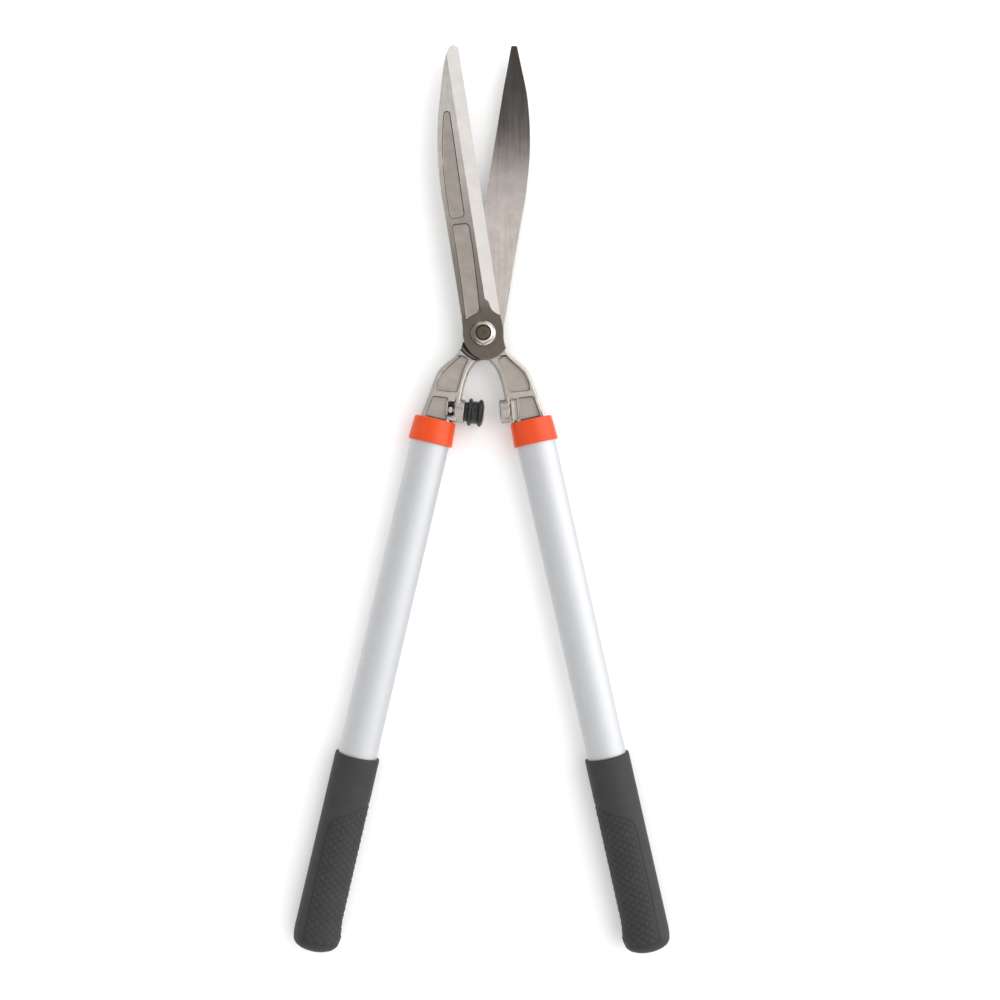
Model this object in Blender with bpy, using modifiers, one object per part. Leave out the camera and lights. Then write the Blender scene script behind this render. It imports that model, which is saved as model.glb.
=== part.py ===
"""Hedge shears: two forged halves on one pivot, oval tube handles, rubber grips and a rubber buffer.

The shears lie flat with the blades open a little. +Y points to the blade tips and +Z up.
The origin is on the pivot axis, on the flat face of the bolt head that the tool lies on.

Both forged halves have one shape. Each is modelled in its own half frame, with the pivot axis
through the origin and z = 0 on the plane where the blades rub. The upper half's blade leans
left and its handle right. The lower half is the same shape turned half a turn about Y.
"""

import math

import bmesh
import bpy
from mathutils import Vector

MM = 0.001

# Heights and running gaps
RUB_PLANE_HEIGHT = 12.5 * MM
FACE_GAP = 0.15 * MM
BORE_GAP = 0.25 * MM

# Forged halves
BLADE_THICKNESS = 5.5 * MM
BRACKET_THICKNESS = 13.6 * MM
DISC_CLEAR_RADIUS = 19.4 * MM
EDGE_ROOT = Vector((12.1 * MM, 13.3 * MM))
EDGE_TIP = Vector((-18.6 * MM, 206.0 * MM))
GROUND_WIDTH = 9.2 * MM
EDGE_LAND = 0.7 * MM
BLADE_PANEL_DEPTH = 0.8 * MM
BRACKET_PANEL_DEPTH = 2.5 * MM
BLADE_CLEAR_START = -9 * MM
GRINDING_LENGTH = 240

# Each half turns by this much from the open pose to the closed one
CLOSE_ANGLE = math.radians(5.75)

# Handles: the tube's axis passes the pivot at an offset, and leans outwards
HANDLE_LEAN = math.radians(12.9)
HANDLE_OFFSET = 19.76 * MM
TUBE_HALF_WIDTH = 14 * MM
TUBE_HALF_THICKNESS = 10 * MM
TUBE_WALL = 1.5 * MM
TUBE_START = 69.6 * MM
TUBE_END = 449.5 * MM
SHANK_WIDTH = 23 * MM
SHANK_END = 69.3 * MM
TANG_OVERLAP = 3 * MM
TANG_WIDTH = 17.5 * MM
TANG_THICKNESS = 9 * MM
TANG_END = 130 * MM
INSERT_START = 71 * MM
INSERT_END = 132 * MM
TANG_PIN_RADIUS = 1.75 * MM
TANG_PINS = {"upper": 74.5 * MM, "lower": 80.5 * MM}

# Collars and grips, along the handle's axis
COLLAR_START = 67.3 * MM
COLLAR_END = 84.9 * MM
COLLAR_START_RADIUS = 15.1 * MM
COLLAR_END_RADIUS = 16.2 * MM
COLLAR_FLATNESS = 0.765
COLLAR_TOP_WALL = 1.8 * MM
COLLAR_ROUNDING = 0.8 * MM
GRIP_START = 315.5 * MM
GRIP_FLATNESS = 12.5 / 17.1
GRIP_BORE_END = 451.7 * MM
PLUG_FLANGE = 1.8 * MM
PLUG_LENGTH = 14 * MM

# Stops: a rubber buffer on the lower half meets a plain boss on the upper one
BOSS_RADIUS = 8.5 * MM
BOSS_LENGTH = 7.4 * MM
BOSS_DISTANCE = 56.7 * MM
UPPER_BOSS_FACE = 6.35 * MM
LOWER_BOSS_FACE = 7.65 * MM
BOSS_ROUNDING = 0.7 * MM
BUFFER_LENGTH = 13.8 * MM
STUD_RADIUS = 2 * MM
STUD_PLATE_RADIUS = 5 * MM
STUD_PLATE_LOW = 6.2 * MM
STUD_PLATE_HIGH = 8 * MM
STUD_NUT_GAP = 1.2 * MM
STUD_NUT_WIDTH = 7 * MM
STUD_NUT_THICKNESS = 3.2 * MM
POCKET_WIDTH = 5 * MM
POCKET_TOP = 49.6 * MM
POCKET_BOTTOM = 64 * MM
LOWER_POCKET_DEPTH = 4.6 * MM
UPPER_POCKET_FLOOR = 4.8 * MM

# Pivot
BOLT_HEAD_RADIUS = 10 * MM
BOLT_HEAD_ROUNDING = 1.5 * MM
BOLT_SHANK_RADIUS = 5.5 * MM
BOLT_THREAD_RADIUS = 4.9 * MM
BOLT_NECK_WIDTH = 11 * MM
BOLT_NECK_LENGTH = 4.5 * MM
SHANK_SHORTFALL = 0.6 * MM
SMALL_CHAMFER = 0.5 * MM
NUT_FLANGE_RADIUS = 9.1 * MM
NUT_FLANGE_RIM = 1.1 * MM
NUT_FLANGE_HEIGHT = 2.2 * MM
NUT_WIDTH = 14.6 * MM
NUT_HEIGHT = 5 * MM
NUT_CORNER_DROP = 1.6 * MM
LOCK_RING_RADIUS = 5.6 * MM
LOCK_RING_HEIGHT = 1.6 * MM

FAR = 60 * MM
ROUND = 48

# The outline of a half in its half frame, in millimetres: (x, y, smooth).
HALF_OUTLINE = (
    (-25.2, 204.6, True),
    (-22.0, 207.4, True),
    (-18.6, 206.0, False),
    (12.1, 13.3, False),
    (14.3, 3.5, True),
    (14.8, -5.0, True),
    (16.7, -11.2, True),
    (20.3, -16.2, True),
    (27.3, -22.0, True),
    (31.7, -26.3, True),
    (34.6, -32.2, True),
    (40.1, -47.0, False),
    (45.0, -59.5, False),
    (45.94, -60.57, False),
    (23.52, -65.71, False),
    (24.1, -63.0, False),
    (19.0, -63.2, False),
    (15.3, -44.6, True),
    (13.0, -34.5, True),
    (8.5, -24.0, True),
    (3.5, -18.9, True),
    (-4.5, -17.2, True),
    (-10.8, -11.8, True),
    (-14.2, -3.6, True),
    (-14.9, 6.1, True),
    (-16.8, 19.2, True),
    (-26.0, 75.2, True),
    (-31.3, 107.5, True),
    (-33.3, 139.5, True),
    (-31.5, 169.5, True),
)
LONG_BLADE_PANEL = (
    (-26.9, 160.9, True),
    (-29.6, 155.0, True),
    (-30.4, 136.6, True),
    (-28.0, 109.1, True),
    (-24.6, 86.0, True),
    (-22.4, 83.2, True),
    (-15.0, 84.3, True),
    (-13.5, 87.5, True),
    (-20.7, 136.6, True),
    (-24.5, 158.6, True),
)
SHORT_BLADE_PANEL = (
    (-21.3, 79.6, True),
    (-12.6, 80.4, True),
    (-11.3, 77.0, True),
    (-3.2, 17.5, False),
    (-4.0, 14.6, False),
    (-8.6, 12.2, True),
    (-12.3, 8.6, False),
    (-14.3, 21.7, False),
    (-22.2, 75.6, True),
)
LONG_BRACKET_PANEL = (
    (15.7, -15.9, False),
    (10.7, -18.7, False),
    (14.6, -27.0, True),
    (17.2, -36.6, True),
    (19.0, -42.0, False),
    (33.4, -40.6, False),
    (32.0, -34.0, True),
    (28.6, -27.8, True),
    (22.6, -22.3, True),
)
SHORT_BRACKET_PANEL = (
    (25.3, -46.4, False),
    (35.9, -45.1, False),
    (41.6, -61.2, False),
    (26.6, -64.4, False),
)

BUFFER_PROFILE = (
    (5.4, 13.8), (8.4, 13.0), (9.8, 12.0), (9.8, 10.4), (8.1, 9.3),
    (8.0, 5.6), (9.9, 4.6), (9.9, 2.9), (7.0, 2.0), (7.0, 0.15),
)
# The grip's sections: distance from its mouth, shift towards the heel's side, half width.
GRIP_SECTIONS = (
    (0.0, 0.0, 15.9), (0.6, 0.0, 16.15), (60.0, 0.0, 16.15), (115.0, 0.0, 16.25),
    (122.0, 0.15, 16.4), (128.0, 0.6, 16.9), (132.5, 1.0, 17.1), (136.5, 0.9, 16.5),
    (139.6, 0.6, 14.7), (141.5, 0.3, 11.5),
)


def clear_scene():
    for obj in list(bpy.data.objects):
        bpy.data.objects.remove(obj)


def make_collection(name):
    collection = bpy.data.collections.new(name)
    bpy.context.scene.collection.children.link(collection)
    return collection


def make_material(name, colour, metallic, roughness):
    material = bpy.data.materials.new(name)
    material.use_nodes = True
    shader = material.node_tree.nodes["Principled BSDF"]
    shader.inputs["Base Color"].default_value = (*colour, 1)
    shader.inputs["Metallic"].default_value = metallic
    shader.inputs["Roughness"].default_value = roughness
    return material


def make_empty(name, parent=None, location=(0, 0, 0), rotation=(0, 0, 0)):
    empty = bpy.data.objects.new(name, None)
    PARTS.objects.link(empty)
    empty.parent = parent
    empty.location = location
    empty.rotation_euler = rotation
    return empty


def put(obj, parent, material=None):
    """Files obj as a part where it has a material, and as a hidden cutter where it has none."""
    for collection in list(obj.users_collection):
        collection.objects.unlink(obj)
    obj.parent = parent
    if material is None:
        CUTTERS.objects.link(obj)
        obj.hide_render = True
        obj.display_type = "WIRE"
    else:
        PARTS.objects.link(obj)
        obj.data.materials.append(material)
        obj.data.shade_smooth()
        obj.data.set_sharp_from_angle(angle=math.radians(30))
    return obj


def apply_transform(obj):
    obj.data.transform(obj.matrix_basis)
    obj.matrix_basis.identity()
    return obj


def mesh_of(curve_object):
    """The curve's evaluated shape as a mesh object with its caps welded."""
    bpy.context.view_layer.update()
    graph = bpy.context.evaluated_depsgraph_get()
    mesh = bpy.data.meshes.new_from_object(curve_object.evaluated_get(graph))
    obj = bpy.data.objects.new(curve_object.name + "_solid", mesh)
    obj.matrix_world = curve_object.matrix_world
    name = curve_object.name
    bpy.data.objects.remove(curve_object)
    obj.name = name
    shape = bmesh.new()
    shape.from_mesh(mesh)
    bmesh.ops.remove_doubles(shape, verts=shape.verts, dist=1e-6)
    shape.to_mesh(mesh)
    shape.free()
    return apply_transform(obj)


def outline_solid(name, outline, low, high, resolution=5):
    """A flat outline, given in millimetres, standing from height low to height high."""
    curve = bpy.data.curves.new(name, "CURVE")
    curve.dimensions = "2D"
    curve.fill_mode = "BOTH"
    curve.resolution_u = resolution
    curve.extrude = (high - low) / 2
    spline = curve.splines.new("BEZIER")
    spline.bezier_points.add(len(outline) - 1)
    spline.use_cyclic_u = True
    for knot, (x, y, smooth) in zip(spline.bezier_points, outline):
        knot.co = (x * MM, y * MM, 0)
        handle = "AUTO" if smooth else "VECTOR"
        knot.handle_left_type = handle
        knot.handle_right_type = handle
    obj = bpy.data.objects.new(name, curve)
    bpy.context.scene.collection.objects.link(obj)
    obj.location.z = (low + high) / 2
    return mesh_of(obj)


def block(name, low, high):
    centre = (Vector(low) + Vector(high)) / 2
    bpy.ops.mesh.primitive_cube_add(size=1, location=centre)
    obj = bpy.context.object
    obj.name = name
    obj.scale = Vector(high) - Vector(low)
    return apply_transform(obj)


def oval_bar(name, half_width, half_thickness, start, end, sides=ROUND, caps="NGON"):
    """An oval prism along Z, wide along X."""
    bpy.ops.mesh.primitive_cylinder_add(
        vertices=sides, radius=1, depth=end - start, end_fill_type=caps,
        location=(0, 0, (start + end) / 2),
    )
    obj = bpy.context.object
    obj.name = name
    obj.scale = (half_width, half_thickness, 1)
    return apply_transform(obj)


def rod(name, radius, start, end, sides=ROUND):
    return oval_bar(name, radius, radius, start, end, sides)


def turned(name, profile, closed=False, steps=ROUND):
    """A profile of (radius, height) points turned about Z. It runs down the outside, top to bottom."""
    count = len(profile)
    edges = [(i, i + 1) for i in range(count - 1)]
    if closed:
        edges.append((count - 1, 0))
    mesh = bpy.data.meshes.new(name)
    mesh.from_pydata([(r, 0, z) for r, z in profile], edges, [])
    obj = bpy.data.objects.new(name, mesh)
    bpy.context.scene.collection.objects.link(obj)
    screw = obj.modifiers.new("Turn", "SCREW")
    screw.steps = steps
    screw.render_steps = steps
    screw.use_merge_vertices = True
    screw.merge_threshold = 1e-6
    return obj


def combine(obj, other, operation):
    """Cuts other from obj, joins it to obj or keeps only what they share. Other stays as a helper."""
    boolean = obj.modifiers.new(other.name, "BOOLEAN")
    boolean.operation = operation
    boolean.solver = "EXACT"
    boolean.object = other
    return obj


def cut(obj, *cutters):
    for cutter in cutters:
        combine(obj, cutter, "DIFFERENCE")


def soften(obj, width, segments=2, angle=math.radians(35)):
    bevel = obj.modifiers.new("Soft edges", "BEVEL")
    bevel.width = width
    bevel.segments = segments
    bevel.limit_method = "ANGLE"
    bevel.angle_limit = angle


def make_forging(name, half, material, pivot_hole, boss_face, pocket):
    """One forged half: blade, pivot disc, bracket, boss and tang in a single solid."""
    reach = BRACKET_THICKNESS / 2
    body = put(outline_solid(name, HALF_OUTLINE, -reach, reach), half, material)

    # Both faces of the blade and disc are milled down to the blade's own thickness.
    levels = {
        "rub_side": (-FAR, FACE_GAP),
        "outer_side": (BLADE_THICKNESS, FAR),
    }
    for side, (low, high) in levels.items():
        around_disc = rod(f"{name}_{side}_disc", DISC_CLEAR_RADIUS, low, high, 96)
        along_blade = block(
            f"{name}_{side}_blade", (-FAR, BLADE_CLEAR_START, low), (FAR, 4 * FAR, high)
        )
        cut(body, put(around_disc, half), put(along_blade, half))

    cut(body, ground_bevel(name, half), *panel_cutters(name, half))
    join_tang(body, name, half)

    stop_frame = make_empty(f"{name}_stop_frame", half, rotation=(0, 0, CLOSE_ANGLE))
    boss = rod(f"{name}_boss", BOSS_RADIUS, 0, BOSS_LENGTH)
    soften(boss, BOSS_ROUNDING)
    put(boss, stop_frame)
    boss.rotation_euler.y = math.radians(90)
    boss.location = (boss_face, -BOSS_DISTANCE, 0)
    combine(body, boss, "UNION")
    low, high = pocket
    boss_back = boss_face + BOSS_LENGTH
    recess = block(
        f"{name}_boss_pocket",
        (boss_back, -POCKET_BOTTOM, low), (boss_back + POCKET_WIDTH, -POCKET_TOP, high),
    )
    cut(body, put(recess, stop_frame), put(pivot_hole, half))
    return body, stop_frame


def ground_bevel(name, half):
    """Takes off everything above the ground face, which slopes from the blade's back to its edge."""
    rise = BLADE_THICKNESS - FACE_GAP - EDGE_LAND
    slope = math.atan2(rise, GROUND_WIDTH)
    along = EDGE_TIP - EDGE_ROOT
    lean = math.atan2(-along.x, along.y)
    # The grinding wheel's run-out leaves a hollow end beside the pivot disc.
    outline = (
        (-30, GRINDING_LENGTH, False), (8, GRINDING_LENGTH, False), (8, -2.5, False),
        (0.5, -1.2, True), (-6.0, 3.4, True), (-9.4, 12.0, True), (-30, 20, False),
    )
    cutter = put(outline_solid(f"{name}_ground_face", outline, 0, 30 * MM), half)
    cutter.location = (EDGE_ROOT.x, EDGE_ROOT.y, FACE_GAP + EDGE_LAND)
    cutter.rotation_mode = "ZYX"
    cutter.rotation_euler = (0, slope, lean)
    return cutter


def panel_cutters(name, half):
    """The sunk panels: two on the blade's outer face and two on each face of the bracket."""
    blade_floor = BLADE_THICKNESS - BLADE_PANEL_DEPTH
    bracket_floor = BRACKET_THICKNESS / 2 - BRACKET_PANEL_DEPTH
    panels = {
        "long_blade_panel": (LONG_BLADE_PANEL, blade_floor, FAR),
        "short_blade_panel": (SHORT_BLADE_PANEL, blade_floor, FAR),
        "long_outer_panel": (LONG_BRACKET_PANEL, bracket_floor, FAR),
        "long_inner_panel": (LONG_BRACKET_PANEL, -FAR, -bracket_floor),
        "short_outer_panel": (SHORT_BRACKET_PANEL, bracket_floor, FAR),
        "short_inner_panel": (SHORT_BRACKET_PANEL, -FAR, -bracket_floor),
    }
    return [
        put(outline_solid(f"{name}_{panel}", outline, low, high, 3), half)
        for panel, (outline, low, high) in panels.items()
    ]


def join_tang(body, name, half):
    """The flat tang that runs down inside the tube, with the holes of its two pins."""
    frame = handle_frame(f"{name}_tang_frame", half)
    width, thickness = TANG_WIDTH / 2, TANG_THICKNESS / 2
    tang = block(
        f"{name}_tang", (-width, -thickness, SHANK_END - TANG_OVERLAP),
        (width, thickness, TANG_END),
    )
    combine(body, put(tang, frame), "UNION")
    cut(body, *pin_holes(name, frame))


def handle_frame(name, half):
    """An empty with +Z down the handle's axis, +X across its width and +Y through its thickness."""
    foot = (HANDLE_OFFSET * math.cos(HANDLE_LEAN), HANDLE_OFFSET * math.sin(HANDLE_LEAN), 0)
    return make_empty(name, half, foot, (math.radians(90), 0, HANDLE_LEAN))


def across_handle(obj, height):
    """Turns a rod along Z so that it crosses the handle from face to face at this height."""
    obj.rotation_euler.x = math.radians(90)
    obj.location.z = height
    return obj


def pin_holes(name, frame):
    return [
        put(across_handle(rod(f"{name}_{pin}_pin_hole", TANG_PIN_RADIUS + BORE_GAP, -FAR, FAR, 24),
                          height), frame)
        for pin, height in TANG_PINS.items()
    ]


def make_handle(side, half, materials):
    """Everything on one tang: insert, pins, tube, collar, plug and grip."""
    frame = handle_frame(f"{side}_handle", half)
    make_tube(side, frame, materials["anodised aluminium"])
    make_insert(side, frame, materials["nylon"])
    make_collar(side, frame, materials["orange plastic"])
    make_plug(side, frame, materials["nylon"])
    make_grip(side, frame, materials["soft rubber"])
    for pin, height in TANG_PINS.items():
        length = TUBE_HALF_THICKNESS - FACE_GAP
        body = rod(f"{side}_tang_pin_{pin}", TANG_PIN_RADIUS, -length, length, 24)
        put(across_handle(body, height), frame, materials["plated steel"])


def make_tube(side, frame, material):
    tube = oval_bar(
        f"{side}_tube", TUBE_HALF_WIDTH, TUBE_HALF_THICKNESS, TUBE_START, TUBE_END, caps="NOTHING"
    )
    wall = tube.modifiers.new("Wall", "SOLIDIFY")
    wall.thickness = TUBE_WALL
    wall.use_even_offset = True
    put(tube, frame, material)
    cut(tube, *pin_holes(f"{side}_tube", frame))


def make_insert(side, frame, material):
    """The nylon sleeve that fills the tube round the tang."""
    clear = TUBE_WALL + BORE_GAP
    insert = oval_bar(
        f"{side}_tang_insert", TUBE_HALF_WIDTH - clear, TUBE_HALF_THICKNESS - clear,
        INSERT_START, INSERT_END,
    )
    put(insert, frame, material)
    width, thickness = TANG_WIDTH / 2 + BORE_GAP, TANG_THICKNESS / 2 + BORE_GAP
    slot = block(f"{side}_tang_slot", (-width, -thickness, 0), (width, thickness, 4 * FAR))
    cut(insert, put(slot, frame), *pin_holes(f"{side}_insert", frame))


def make_collar(side, frame, material):
    """The flared collar that hides the end of the tube and the two pins."""
    bpy.ops.mesh.primitive_cone_add(
        vertices=ROUND, radius1=COLLAR_START_RADIUS, radius2=COLLAR_END_RADIUS,
        depth=COLLAR_END - COLLAR_START, location=(0, 0, (COLLAR_START + COLLAR_END) / 2),
    )
    collar = bpy.context.object
    collar.name = f"{side}_collar"
    collar.scale.y = COLLAR_FLATNESS
    apply_transform(collar)
    soften(collar, COLLAR_ROUNDING)
    put(collar, frame, material)
    bore = oval_bar(
        f"{side}_collar_bore", TUBE_HALF_WIDTH + BORE_GAP, TUBE_HALF_THICKNESS + BORE_GAP,
        COLLAR_START + COLLAR_TOP_WALL, COLLAR_END + FAR,
    )
    width, thickness = SHANK_WIDTH / 2 + BORE_GAP, BRACKET_THICKNESS / 2 + BORE_GAP
    mouth = block(f"{side}_collar_mouth", (-width, -thickness, 0), (width, thickness, COLLAR_END))
    cut(collar, put(bore, frame), put(mouth, frame))


def make_plug(side, frame, material):
    """Closes the tube, so that its end can't cut through the grip."""
    clear = TUBE_WALL + BORE_GAP
    flange_start = TUBE_END + FACE_GAP
    plug = oval_bar(
        f"{side}_tube_plug", TUBE_HALF_WIDTH, TUBE_HALF_THICKNESS,
        flange_start, flange_start + PLUG_FLANGE,
    )
    stem = oval_bar(
        f"{side}_plug_stem", TUBE_HALF_WIDTH - clear, TUBE_HALF_THICKNESS - clear,
        TUBE_END - PLUG_LENGTH, flange_start + PLUG_FLANGE / 2,
    )
    put(plug, frame, material)
    combine(plug, put(stem, frame), "UNION")


def make_grip(side, frame, material):
    """A closed rubber sleeve whose end swells into a heel on the side that faces the other handle."""
    curve = bpy.data.curves.new(f"{side}_grip", "CURVE")
    curve.dimensions = "3D"
    curve.bevel_depth = MM
    curve.bevel_resolution = 22
    curve.use_fill_caps = True
    spline = curve.splines.new("POLY")
    spline.points.add(len(GRIP_SECTIONS) - 1)
    for point, (distance, shift, half_width) in zip(spline.points, GRIP_SECTIONS):
        point.co = (-shift * MM, 0, GRIP_START + distance * MM, 1)
        point.radius = half_width
    grip = bpy.data.objects.new(f"{side}_grip", curve)
    bpy.context.scene.collection.objects.link(grip)
    grip = mesh_of(grip)
    grip.scale.y = GRIP_FLATNESS
    put(apply_transform(grip), frame, material)
    bore = oval_bar(
        f"{side}_grip_bore", TUBE_HALF_WIDTH + BORE_GAP, TUBE_HALF_THICKNESS + BORE_GAP,
        GRIP_START - FAR, GRIP_BORE_END,
    )
    cut(grip, put(bore, frame))


def make_buffer(stop_frame, body, materials):
    """The ribbed rubber buffer, moulded round the plate of a stud that its nut draws into the boss."""
    mount = make_empty(
        "buffer_mount", stop_frame, (LOWER_BOSS_FACE, -BOSS_DISTANCE, 0), (0, math.radians(-90), 0)
    )
    stud_bore = STUD_RADIUS + BORE_GAP
    outside = [(r * MM, z * MM) for r, z in BUFFER_PROFILE]
    hollow = [
        (stud_bore, FACE_GAP), (stud_bore, STUD_PLATE_LOW - FACE_GAP),
        (STUD_PLATE_RADIUS + BORE_GAP, STUD_PLATE_LOW - FACE_GAP),
        (STUD_PLATE_RADIUS + BORE_GAP, STUD_PLATE_HIGH + FACE_GAP),
        (0, STUD_PLATE_HIGH + FACE_GAP),
    ]
    buffer = turned("buffer", [(0, BUFFER_LENGTH), *outside, *hollow])
    put(buffer, mount, materials["black rubber"])

    stud_end = -(BOSS_LENGTH + POCKET_WIDTH - BORE_GAP)
    stud_profile = [
        (0, STUD_PLATE_HIGH), (STUD_PLATE_RADIUS, STUD_PLATE_HIGH),
        (STUD_PLATE_RADIUS, STUD_PLATE_LOW), (STUD_RADIUS, STUD_PLATE_LOW),
        (STUD_RADIUS, stud_end), (0, stud_end),
    ]
    put(turned("buffer_stud", stud_profile, steps=24), mount, materials["plated steel"])
    stud_hole = rod("stud_hole", stud_bore, -BOSS_LENGTH - MM, MM, 24)
    cut(body, put(stud_hole, mount))

    nut_start = -(BOSS_LENGTH + STUD_NUT_GAP)
    corner = STUD_NUT_WIDTH / 2 / math.cos(math.radians(30))
    nut = rod("buffer_nut", corner, nut_start - STUD_NUT_THICKNESS, nut_start, 6)
    put(nut, mount, materials["plated steel"])
    nut_bore = rod("buffer_nut_bore", stud_bore, -FAR, FAR, 24)
    cut(nut, put(nut_bore, mount))


def make_pivot(materials):
    """Bolt, flanged nut and the nut's lock ring. Heights are from the flat face of the bolt's head."""
    disc_bottom = RUB_PLANE_HEIGHT - BLADE_THICKNESS
    disc_top = RUB_PLANE_HEIGHT + BLADE_THICKNESS
    head_top = disc_bottom - FACE_GAP
    nut_bottom = disc_top + FACE_GAP
    nut_top = nut_bottom + NUT_HEIGHT
    shank_end = disc_top - SHANK_SHORTFALL
    end = nut_top - FACE_GAP
    axis = make_empty("pivot_axis")

    bolt = turned("pivot_bolt", [
        (0, end), (BOLT_THREAD_RADIUS - SMALL_CHAMFER, end),
        (BOLT_THREAD_RADIUS, end - SMALL_CHAMFER), (BOLT_THREAD_RADIUS, shank_end),
        (BOLT_SHANK_RADIUS, shank_end), (BOLT_SHANK_RADIUS, head_top),
        (BOLT_HEAD_RADIUS - SMALL_CHAMFER, head_top),
        (BOLT_HEAD_RADIUS, head_top - SMALL_CHAMFER), (BOLT_HEAD_RADIUS, BOLT_HEAD_ROUNDING),
        (BOLT_HEAD_RADIUS - BOLT_HEAD_ROUNDING, 0), (0, 0),
    ])
    put(bolt, axis, materials["black oxide steel"])
    half_neck = BOLT_NECK_WIDTH / 2
    neck = block(
        "pivot_bolt_neck", (-half_neck, -half_neck, head_top - MM),
        (half_neck, half_neck, head_top + BOLT_NECK_LENGTH),
    )
    combine(bolt, put(neck, axis), "UNION")

    half_width = NUT_WIDTH / 2
    corner = half_width / math.cos(math.radians(30))
    nut = rod("pivot_nut", corner, nut_bottom + SMALL_CHAMFER, nut_top, 6)
    put(nut, axis, materials["chromed steel"])
    flange = turned("nut_flange", [
        (0, nut_bottom + NUT_FLANGE_HEIGHT), (half_width, nut_bottom + NUT_FLANGE_HEIGHT),
        (NUT_FLANGE_RADIUS, nut_bottom + NUT_FLANGE_RIM), (NUT_FLANGE_RADIUS, nut_bottom),
        (0, nut_bottom),
    ])
    chamfer = turned("nut_chamfer", [
        (0, nut_top), (half_width, nut_top), (NUT_FLANGE_RADIUS, nut_top - NUT_CORNER_DROP),
        (NUT_FLANGE_RADIUS, 0), (0, 0),
    ])
    combine(nut, put(chamfer, axis), "INTERSECT")
    combine(nut, put(flange, axis), "UNION")
    thread = rod("nut_thread", BOLT_THREAD_RADIUS + BORE_GAP, 0, 2 * FAR)
    seat_floor = nut_top - LOCK_RING_HEIGHT - FACE_GAP
    ring_seat = rod("nut_ring_seat", LOCK_RING_RADIUS + FACE_GAP, seat_floor, 2 * FAR)
    cut(nut, put(thread, axis), put(ring_seat, axis))

    inner = BOLT_THREAD_RADIUS + FACE_GAP
    ring = turned("pivot_lock_ring", [
        (inner, nut_top - FACE_GAP), (LOCK_RING_RADIUS, nut_top - FACE_GAP),
        (LOCK_RING_RADIUS, nut_top - LOCK_RING_HEIGHT), (inner, nut_top - LOCK_RING_HEIGHT),
    ], closed=True)
    put(ring, axis, materials["dark nylon"])


def make_materials():
    """Colours are linear."""
    return {
        "forged steel": make_material("forged steel", (0.36, 0.33, 0.31), 1, 0.42),
        "plated steel": make_material("plated steel", (0.6, 0.59, 0.56), 1, 0.3),
        "chromed steel": make_material("chromed steel", (0.8, 0.79, 0.76), 1, 0.15),
        "black oxide steel": make_material("black oxide steel", (0.08, 0.075, 0.06), 1, 0.5),
        "anodised aluminium": make_material("anodised aluminium", (0.78, 0.79, 0.8), 1, 0.38),
        "orange plastic": make_material("orange plastic", (0.9, 0.12, 0.02), 0, 0.4),
        "soft rubber": make_material("soft rubber", (0.06, 0.06, 0.06), 0, 0.7),
        "black rubber": make_material("black rubber", (0.02, 0.02, 0.02), 0, 0.5),
        "nylon": make_material("nylon", (0.6, 0.58, 0.52), 0, 0.5),
        "dark nylon": make_material("dark nylon", (0.05, 0.045, 0.035), 0, 0.6),
    }


def main():
    materials = make_materials()
    steel = materials["forged steel"]

    lower = make_empty("lower_half", None, (0, 0, RUB_PLANE_HEIGHT), (0, math.pi, 0))
    half_hole = BOLT_NECK_WIDTH / 2 + FACE_GAP
    square_hole = block("square_hole", (-half_hole, -half_hole, -FAR), (half_hole, half_hole, FAR))
    lower_pocket = (-FAR, LOWER_POCKET_DEPTH)
    lower_body, stop_frame = make_forging(
        "lower_blade", lower, steel, square_hole, LOWER_BOSS_FACE, lower_pocket
    )
    make_buffer(stop_frame, lower_body, materials)
    make_handle("left", lower, materials)

    upper = make_empty("upper_half", None, (0, 0, RUB_PLANE_HEIGHT))
    round_hole = rod("round_hole", BOLT_SHANK_RADIUS + FACE_GAP, -FAR, FAR)
    upper_pocket = (UPPER_POCKET_FLOOR, FAR)
    make_forging("upper_blade", upper, steel, round_hole, UPPER_BOSS_FACE, upper_pocket)
    make_handle("right", upper, materials)

    make_pivot(materials)


clear_scene()
PARTS = make_collection("hedge_shears")
CUTTERS = make_collection("cutters")
main()
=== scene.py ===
"""Hedge shears: the finish of the forged halves, tubes, collars, grips, buffer and pivot.

Each forged half is modelled in its own half frame, as in the frame's own build: the pivot axis runs
through the origin and z = 0 is the plane where the blades rub. The upper half's blade leans left
and its handle right. The lower half is the same shape turned half a turn about Y.
"""

import math

import bpy
from mathutils import Matrix, Vector


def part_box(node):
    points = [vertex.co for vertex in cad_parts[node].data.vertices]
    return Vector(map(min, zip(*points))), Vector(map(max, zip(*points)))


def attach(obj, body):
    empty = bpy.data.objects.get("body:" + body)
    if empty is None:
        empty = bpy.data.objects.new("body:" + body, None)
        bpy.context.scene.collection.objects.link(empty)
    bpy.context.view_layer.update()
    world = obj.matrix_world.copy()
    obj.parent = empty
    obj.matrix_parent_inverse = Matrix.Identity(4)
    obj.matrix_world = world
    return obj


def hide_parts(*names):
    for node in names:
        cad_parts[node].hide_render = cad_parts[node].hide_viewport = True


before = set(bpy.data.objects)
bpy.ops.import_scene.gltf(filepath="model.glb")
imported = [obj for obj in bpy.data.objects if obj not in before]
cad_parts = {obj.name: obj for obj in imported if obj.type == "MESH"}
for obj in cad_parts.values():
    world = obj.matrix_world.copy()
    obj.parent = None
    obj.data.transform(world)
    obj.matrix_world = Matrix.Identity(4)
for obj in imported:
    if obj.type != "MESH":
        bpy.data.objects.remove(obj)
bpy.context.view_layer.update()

MM = 0.001

# Heights of the frame: the rub plane is half way up the two pivot discs.
RUB_PLANE = (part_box("lower_blade")[0].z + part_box("upper_blade")[1].z) / 2
FACE_GAP = 0.15 * MM
BLADE_THICKNESS = 5.5 * MM
BRACKET_REACH = 6.8 * MM
BRACKET_ROUNDING = 1.7 * MM

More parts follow.
